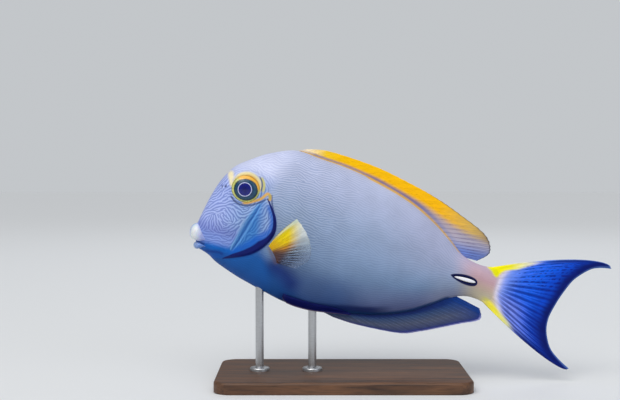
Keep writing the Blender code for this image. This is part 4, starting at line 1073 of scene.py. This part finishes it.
def paintAnal(x, z, share, row):
    # navy at the root, grey blue across, violet along the edge
    tones = toneRamp(row, ((0, "#0f1f58"), (0.16, "#132a66"), (0.3, "#344a72"), (0.6, "#4e566e"),
                           (0.85, "#3c456c"), (0.945, "#2c3680"), (0.96, "#a2a4ff"), (1, "#c2c4ff")))
    rear = np.maximum(ease(0.7, 1.0, share) * ease(0.97, 0.9, row) * 0.75, ease(0.86, 0.93, share) * 0.9)
    return {"tone": paintOver(
        tones, (ease(0.2, 0.08, share) * ease(0.9, 0.97, row) * 0.8, "#8a7486"), (rear, "#0a3680"))}


def paintAnalRays(x, z, share, row):
    return np.minimum(paintAnal(x, z, share, row)["tone"] * 1.35, 1)


dorsalLook["paint"], dorsalLook["paintRays"] = paintDorsal, paintDorsalRays
analLook["paint"], analLook["paintRays"] = paintAnal, paintAnalRays
buildFin("dorsal", edgeFin(dorsalLook["points"], backZ, -0.9), dorsalLook, ["dorsal_fin"])
buildFin("anal", edgeFin(analLook["points"], bellyZ, 0.9), analLook, ["anal_fin"])

tailLook = {
    "rays": 17, "spines": 0, "rows": 44, "perGap": 12, "notch": 0.0, "pleat": 0.12, "halfThick": 0.17,
    "root": 0.45, "streakRun": 7.0, "streaks": 0.16, "forkAt": 0.3, "forkSpread": 0.26, "raySteps": 30,
    "rayRoot": 0.3, "rayTip": 0.11, "raySides": 8, "spotTone": "#06187a", "span": 38.0,
    "spotsAcross": 1.7, "spotsAlong": 24,
    "edge": ((249.9, 49.2), (243.0, 47.7), (237.4, 44.8), (230.4, 37.0), (226.4, 28.0), (223.4, 18.0),
             (222.0, 9.4), (223.3, 1.6), (227.8, -6.5), (234.0, -11.4), (242.3, -15.7)),
    "rootX": 184.0, "rootBow": 5.5, "middleZ": 19.7, "halfDepth": 9.2, "bowUp": 14.6, "bowDown": 11.0,
    "sunk": 0.09,
}


def tailMiddle(share, row):
    look = tailLook
    level = 1 - 2 * share
    rootZ = look["middleZ"] + level * look["halfDepth"]
    rootX = look["rootX"] - look["rootBow"] * level * level
    tipX, tipZ = alongCurve(look["edge"], share)
    bow = look["bowUp"] * np.maximum(level, 0) ** 2 - look["bowDown"] * np.maximum(-level, 0) ** 2
    along = row - look["sunk"] * (1 - row)
    bow = bow * np.maximum(along, 0) * np.sqrt(np.maximum(1 - along, 0))
    return asPoints(rootX + (tipX - rootX) * along, 0, rootZ + (tipZ - rootZ) * along + bow)


def paintTail(x, z, share, row):
    # pale by the stalk, then blue, navy along the rear edge and the lower lobe
    look = tailLook
    tones = toneRamp(row, ((0.08, "#b8c0e8"), (0.18, "#a0acee"), (0.28, "#6c90f2"), (0.42, "#2c6cf0"),
                           (0.6, "#0860ec"), (0.8, "#0446c8")))
    lower = ease(0.5, 0.72, share)
    lane = ease(0.08, 0.26, besideRay(look, share, row)) * ease(0.14, 0.4, row) * ease(0.26, 0.44, share)
    toEdge = (1 - row) * look["span"] * (1 + 0.7 * (1 - 2 * share) ** 2)
    navy = ease(8, 2.2, toEdge * np.interp(share, (0, 0.25, 0.5, 0.75, 1), (0.5, 0.85, 1.25, 0.8, 0.4)))
    navy = np.maximum(navy, ease(0.86, 1.0, share) * ease(0.3, 0.6, row))
    navy = np.maximum(navy, ease(0.13, 0.03, share) * ease(0.42, 0.62, row) * 0.8)
    tones = paintOver(
        tones, (lower * ease(0.75, 0.4, row) * 0.8, "#8a9cf0"),
        (lower * ease(0.5, 0.9, row) * 0.8, "#0a2c90"), (lane * 0.7, "#04187e"), (navy, "#021668"))
    edge = np.maximum(ease(0.985, 0.998, row), ease(0.016, 0.004, share) * ease(0.35, 0.5, row))
    tones = paintOver(paintStalk(tones, x, z), (edge * 0.55, "#6a94e0"))
    # spots in the upper lobe lie between the forked rays' branches
    phase = share * (look["rays"] - 1)
    blue = reachOf(skinLook["blueLine"], x, z)[0]
    spots = ease(3, 12, blue) * ease(0.02, 0.1, share) * ease(0.98, 0.9, row)
    spots = spots * 0.8 * ease(0.5, 0.34, share) * ease(0.2, 0.6, np.cos(math.tau * phase) ** 2)
    place = asPoints(phase * look["spotsAcross"], row * look["spotsAlong"], 0)
    return {"tone": tones, "spotShare": spots, "spotPlace": place}


def paintTailRays(x, z, share, row):
    lit = ease(0.12, 0.3, row) * ease(0.86, 0.6, row)
    lit = lit * (0.12 + 0.2 * ease(0.5, 0.7, share)) * ease(0.95, 0.85, share)
    return paintOver(paintTail(x, z, share, np.minimum(row, 0.97))["tone"], (lit, "#8496f4"))


tailLook["paint"], tailLook["paintRays"] = paintTail, paintTailRays
buildFin("tail", tailMiddle, tailLook, ["caudal_fin_upper", "caudal_fin_lower"])

pectoralLook = {
    "rays": 16, "spines": 1, "rows": 26, "perGap": 6, "notch": 0.006, "pleat": 0.35, "halfThick": 0.14,
    "root": 0.1, "streakRun": 5.0, "streaks": 0.12, "forkAt": 0.4, "forkSpread": 0.25, "raySteps": 24,
    "rayRoot": 0.2, "rayTip": 0.09, "raySides": 8, "cup": 2.4, "sunk": 0.6,
    # root x, root z, tip x, tip z, reach out from the side
    "points": ((48.4, 6.2, 59.8, 28.0, 27.0), (49.8, 4.6, 66.4, 22.6, 28.0), (51.6, 2.6, 71.6, 15.4, 26.5),
               (53.6, 0.4, 73.2, 7.4, 22.5), (55.4, -1.6, 67.4, -0.4, 14.5)),
}


def pectoralMiddle(share, row):
    rootX, rootZ, tipX, tipZ, reach = alongCurve(pectoralLook["points"], share)
    rootY = sideY(rootX, rootZ) - pectoralLook["sunk"]
    cup = pectoralLook["cup"] * 4 * row * (1 - row)
    return asPoints(rootX + (tipX - rootX) * row - cup * 0.5, rootY + reach * row + cup * 0.5,
                    rootZ + (tipZ - rootZ) * row)


def paintPectoral(x, z, share, row):
    # strong yellow in front with a pale edge, brown at the root, the rest glassy and pale
    tones = toneRamp(share, ((0, "#ffec14"), (0.3, "#ffdc10"), (0.42, "#e49c24"), (0.56, "#74584c"),
                             (0.66, "#645662"), (0.8, "#605a70"), (1, "#6c7288")))
    pale = toneRamp(share, ((0, "#fafce4"), (0.25, "#f4fcff"), (0.45, "#c2d4dc"), (0.7, "#8a9ab4"),
                            (1, "#7486a8")))
    clear = ease(0.72, 1.12, row + 0.9 * share ** 1.3)
    tones = paintOver(
        tones, (clear * 0.95, pale), (ease(0.5, 0.1, row) * ease(0.2, 0.5, share) * 0.9, "#60484a"),
        (ease(0.12, 0.0, row) * 0.5, "#7a5a44"),
        (ease(0.5, 0.1, row) * ease(0.45, 0.2, share) * 0.65, "#f4a01c"),
        (ease(0.1, 0.03, share) * ease(0.15, 0.6, row) * 0.8, "#d2e6dc"))
    return {"tone": tones, "solidShare": 1 - (0.3 + 0.45 * ease(0.2, 0.6, share)) * clear}


def paintPectoralRays(x, z, share, row):
    tones = toneRamp(share, ((0, "#fad800"), (0.3, "#f0c400"), (0.42, "#8a5c2c"), (0.6, "#382a2e"),
                             (1, "#2c3044")))
    return paintOver(tones, (ease(0.3, 0.05, row) * ease(0.2, 0.5, share), "#5a3628"),
                     (ease(0.6, 1.0, row) * 0.85, "#8e9cb4"))


pectoralLook["paint"], pectoralLook["paintRays"] = paintPectoral, paintPectoralRays
for finSide, finWord in ((-1, "left"), (1, "right")):
    buildFin("pectoral_" + finWord, pectoralMiddle, pectoralLook,
             ["pectoral_fin_" + finWord], finSide)

pelvicLook = {
    "rays": 6, "spines": 1, "rows": 34, "perGap": 6, "notch": 0.02, "pleat": 0.12, "halfThick": 0.22,
    "root": 0.3, "streakRun": 6.0, "streaks": 0.15, "forkAt": 0.5, "forkSpread": 0.2, "raySteps": 26,
    "rayRoot": 0.3, "rayTip": 0.08, "raySides": 8, "nearestY": 3.1, "tipY": 1.9,
    "offSkin": 0.45, "sunk": 0.9,
    # x, z, half height along the folded fin
    "points": ((63.5, -21.4, 1.7), (72.0, -22.1, 2.3), (82.0, -22.0, 2.3), (93.0, -20.9, 1.9),
               (101.0, -20.3, 1.2), (107.0, -20.2, 0.5)),
}


def pelvicMiddle(share, row):
    look = pelvicLook
    x, middleZ, high = alongCurve(look["points"], row)
    inFlesh = ease(0.12, 0.0, row)
    z = middleZ + high * (1 - 2 * share) * (1 - 0.4 * inFlesh) + 2.2 * inFlesh
    nearest = look["nearestY"] + (look["tipY"] - look["nearestY"]) * np.maximum(row - 0.6, 0) / 0.4
    flank = sideY(x, z)
    y = np.maximum(flank + look["offSkin"], nearest) + 0.3
    return asPoints(x, y + inFlesh * (flank - look["sunk"] - y), z)


def paintPelvic(x, z, share, row):
    tones = toneRamp(share, ((0, "#101c64"), (0.15, "#0c165c"), (0.5, "#081058"), (1, "#0a0e4c")))
    return {"tone": paintOver(tones, (ease(0.93, 0.99, share) * 0.6, "#7c6878"))}


def paintPelvicRays(x, z, share, row):
    tones = np.zeros(share.shape + (3,)) + toLinear("#0c145a")
    return paintOver(tones, (ease(0.9, 0.98, share) * 0.6, "#7c6878"))


pelvicLook["paint"], pelvicLook["paintRays"] = paintPelvic, paintPelvicRays
for finSide, finWord in ((-1, "left"), (1, "right")):
    buildFin("pelvic_" + finWord, pelvicMiddle, pelvicLook, ["pelvic_fin_" + finWord], finSide)


# Stand: an oiled walnut base and two brushed steel rods, each with a small foot
standLook = {"cornerRadius": 10.0, "edge": 1.6, "cornerSteps": 14, "rodSides": 48, "rodRadius": 2.5,
             "footRadius": 6.0, "footHeight": 2.0, "footRound": 0.9, "footEdge": 0.55, "sunk": 2.0,
             "edgeSteps": 7, "lowEdge": 0.5, "rodEdge": 0.4}


def oiledWalnut():
    # oiled walnut: dark brown, straight grain along the base, open pores, low satin sheen
    material, tree, surface = newMaterial("oiledWalnut", {"Roughness": 0.5, "IOR": 1.5})
    place = addNode(tree, "ShaderNodeTexCoord").outputs["Object"]
    stretched = addNode(tree, "ShaderNodeMapping", {"Vector": place, "Scale": (12, 160, 160)})
    grain = addNode(tree, "ShaderNodeTexNoise", {
        "Vector": stretched, "Scale": 1.0, "Detail": 5.0, "Roughness": 0.6, "Distortion": 0.6})
    ramp = addNode(tree, "ShaderNodeValToRGB", {"Fac": grain})
    for stop, (at, colour) in zip(ramp.color_ramp.elements, ((0.36, "#3a2417"), (0.66, "#6f4a2f"))):
        stop.position = at
        stop.color = (*toLinear(colour), 1)
    fine = addNode(tree, "ShaderNodeMapping", {"Vector": place, "Scale": (90, 1500, 1500)})
    pores = addNode(tree, "ShaderNodeTexNoise", {"Vector": fine, "Scale": 1.0, "Detail": 2.0})
    dark = addNode(tree, "ShaderNodeMapRange", {
        "Value": pores, "From Min": 0.35, "From Max": 0.5, "To Min": 0.62, "To Max": 1.0})
    mixed = addNode(tree, "ShaderNodeMix", {
        0: 1.0, 6: ramp, 7: dark}, data_type="RGBA", blend_type="MULTIPLY")
    rough = addNode(tree, "ShaderNodeMapRange", {"Value": grain, "To Min": 0.42, "To Max": 0.6})
    relief = addNode(tree, "ShaderNodeBump", {"Height": pores, "Strength": 0.2, "Distance": 0.0001})
    setInputs(surface, {"Base Color": mixed.outputs[2], "Roughness": rough, "Normal": relief})
    return material


def brushedSteel():
    # stainless steel rod, brushed round: soft bright lines along it
    material, tree, surface = newMaterial("brushedSteel", {"Metallic": 1.0, "Roughness": 0.3})
    place = addNode(tree, "ShaderNodeTexCoord").outputs["Object"]
    stretched = addNode(tree, "ShaderNodeMapping", {"Vector": place, "Scale": (300, 300, 6000)})
    lines = addNode(tree, "ShaderNodeTexNoise", {"Vector": stretched, "Scale": 1.0, "Detail": 2.0})
    rough = addNode(tree, "ShaderNodeMapRange", {"Value": lines, "To Min": 0.2, "To Max": 0.45})
    tone = addNode(tree, "ShaderNodeMix", {
        0: lines, 6: (*toLinear("#a9abae"), 1), 7: (*toLinear("#d2d3d5"), 1)}, data_type="RGBA")
    setInputs(surface, {"Base Color": tone.outputs[2], "Roughness": rough})
    return material


def standPiece(name, rings, sharpAngle, node, material):
    points = [point for ring in rings for point in ring]
    piece = makePiece(name, points, tubeFaces(len(rings), len(rings[0])),
                      place=lambda spots: np.asarray(spots, float) / 1000)
    piece.data.set_sharp_from_angle(angle=math.radians(sharpAngle))
    putInFrame(piece, [node], material)


def buildStand():
    look = standLook
    low, high = (corner * 1000 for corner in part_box("stand_base"))
    radius, edge = look["cornerRadius"], look["edge"]
    outline = []
    for corner in range(4):
        middleX = high.x - radius if corner in (0, 3) else low.x + radius
        middleY = high.y - radius if corner in (0, 1) else low.y + radius
        for step in range(look["cornerSteps"] + 1):
            turn = math.pi / 2 * (corner + step / look["cornerSteps"])
            outline.append((middleX, middleY, math.cos(turn), math.sin(turn)))
    # inset and height, from the underside round the upper edge
    profile = [(look["lowEdge"], low.z), (0, low.z + look["lowEdge"])]
    for turn in np.linspace(0, math.pi / 2, look["edgeSteps"]):
        profile.append((edge * (1 - math.cos(turn)), high.z - edge * (1 - math.sin(turn))))
    rings = [[(x + (radius - inset) * c, y + (radius - inset) * s, z) for x, y, c, s in outline]
             for inset, z in profile]
    standPiece("standBase", rings, 40, "stand_base", oiledWalnut())
    steel = brushedSteel()
    rod, foot, rounding = look["rodRadius"], look["footRadius"], look["footRound"]
    footEdge = high.z + look["footHeight"] * look["footEdge"]
    rodEdge = look["rodEdge"]
    for word in ("front", "rear"):
        rodLow, rodHigh = (corner * 1000 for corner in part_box("stand_rod_" + word))
        middleX = (rodLow.x + rodHigh.x) / 2
        profile = [(rod, high.z - look["sunk"]), (foot, high.z - look["sunk"]), (foot, footEdge)]
        profile += [(foot - rounding * (1 - math.cos(a)), footEdge + rounding * math.sin(a))
                    for a in (0.4, 0.8, 1.2, math.pi / 2)]
        profile += [(rod + 0.5, footEdge + rounding), (rod, high.z + look["footHeight"] + rodEdge),
                    (rod, rodHigh.z - rodEdge), (rod - rodEdge, rodHigh.z)]
        turns = fullTurn(look["rodSides"])[0]
        rings = [[(middleX + r * math.cos(a), r * math.sin(a), z) for a in turns] for r, z in profile]
        standPiece("standRod_" + word, rings, 35, "stand_rod_" + word, steel)
    print("stand")


buildStand()


# Studio: pale floor, soft light, camera at the photo's angle
studio = {
    "floorHalf": 4.0, "floorTone": "#e4e6e8", "worldTone": "#e6eaee", "worldStrength": 0.34,
    "backdropStrength": 0.69, "ceilingStrength": 1.65, "ceilingSpread": 70,
    "ceilingFrom": (-0.25, -0.55, 1.0), "lens": 70.0, "distance": 0.7233, "rise": 2.0,
    "targetX": 72.6, "targetZ": 19.8,
    # name, place from the fish in m, size in m, power in W, tone
    "lights": (("keyLight", (-0.5, -0.9, 1.1), 0.7, 5.0, "#fffaf2"),
               ("fillLight", (0.9, -0.9, 0.5), 0.9, 2.5, "#eef4ff"),
               ("backLight", (0.2, 1.1, 0.9), 0.8, 2.0, "#f4f8ff")),
}


def aimedFrom(thing, place):  # turned so that it looks from that side
    thing.rotation_euler = Vector(place).to_track_quat("Z", "Y").to_euler()


def buildStudio():
    look = studio
    half = look["floorHalf"]
    mesh = bpy.data.meshes.new("floor")
    corners = [(x * half, y * half, 0) for x, y in ((-1, -1), (1, -1), (1, 1), (-1, 1))]
    mesh.from_pydata(corners, [], [(0, 1, 2, 3)])
    # smooth painted board: even, matt
    board = newMaterial("mattBoard", {"Roughness": 0.75, "Base Color": (*toLinear(look["floorTone"]), 1)})[0]
    mesh.materials.append(board)
    addObject("floor", mesh)
    # the camera sees a paler backdrop than the one that lights the fish
    world = bpy.data.worlds.new("studio")
    world.use_nodes = True
    seen = addNode(world.node_tree, "ShaderNodeLightPath").outputs["Is Camera Ray"]
    strength = addNode(world.node_tree, "ShaderNodeMix", {
        0: seen, 2: look["worldStrength"], 3: look["backdropStrength"]})
    setInputs(world.node_tree.nodes["Background"], {
        "Color": (*toLinear(look["worldTone"]), 1), "Strength": strength})
    bpy.context.scene.world = world
    target = Vector((snoutX + look["targetX"], 0, snoutZ + look["targetZ"])) / 1000
    for name, place, size, power, tone in look["lights"]:
        light = bpy.data.lights.new(name, "AREA")
        light.size = size
        light.energy = power
        light.color = toLinear(tone)
        lamp = addObject(name, light)
        lamp.location = target + Vector(place)
        aimedFrom(lamp, place)
    sun = bpy.data.lights.new("ceilingLight", "SUN")
    sun.energy = look["ceilingStrength"]
    sun.angle = math.radians(look["ceilingSpread"])
    aimedFrom(addObject("ceilingLight", sun), look["ceilingFrom"])
    rise = math.radians(look["rise"])
    back = Vector((0, -math.cos(rise), math.sin(rise)))
    lens = bpy.data.cameras.new("camera")
    lens.lens = look["lens"]
    lens.clip_start = 0.01
    camera = addObject("camera", lens)
    camera.location = target + back * look["distance"]
    aimedFrom(camera, back)
    bpy.context.scene.camera = camera
    bpy.context.scene.view_settings.view_transform = "Standard"
    print("studio")


buildStudio()

bpy.context.view_layer.update()
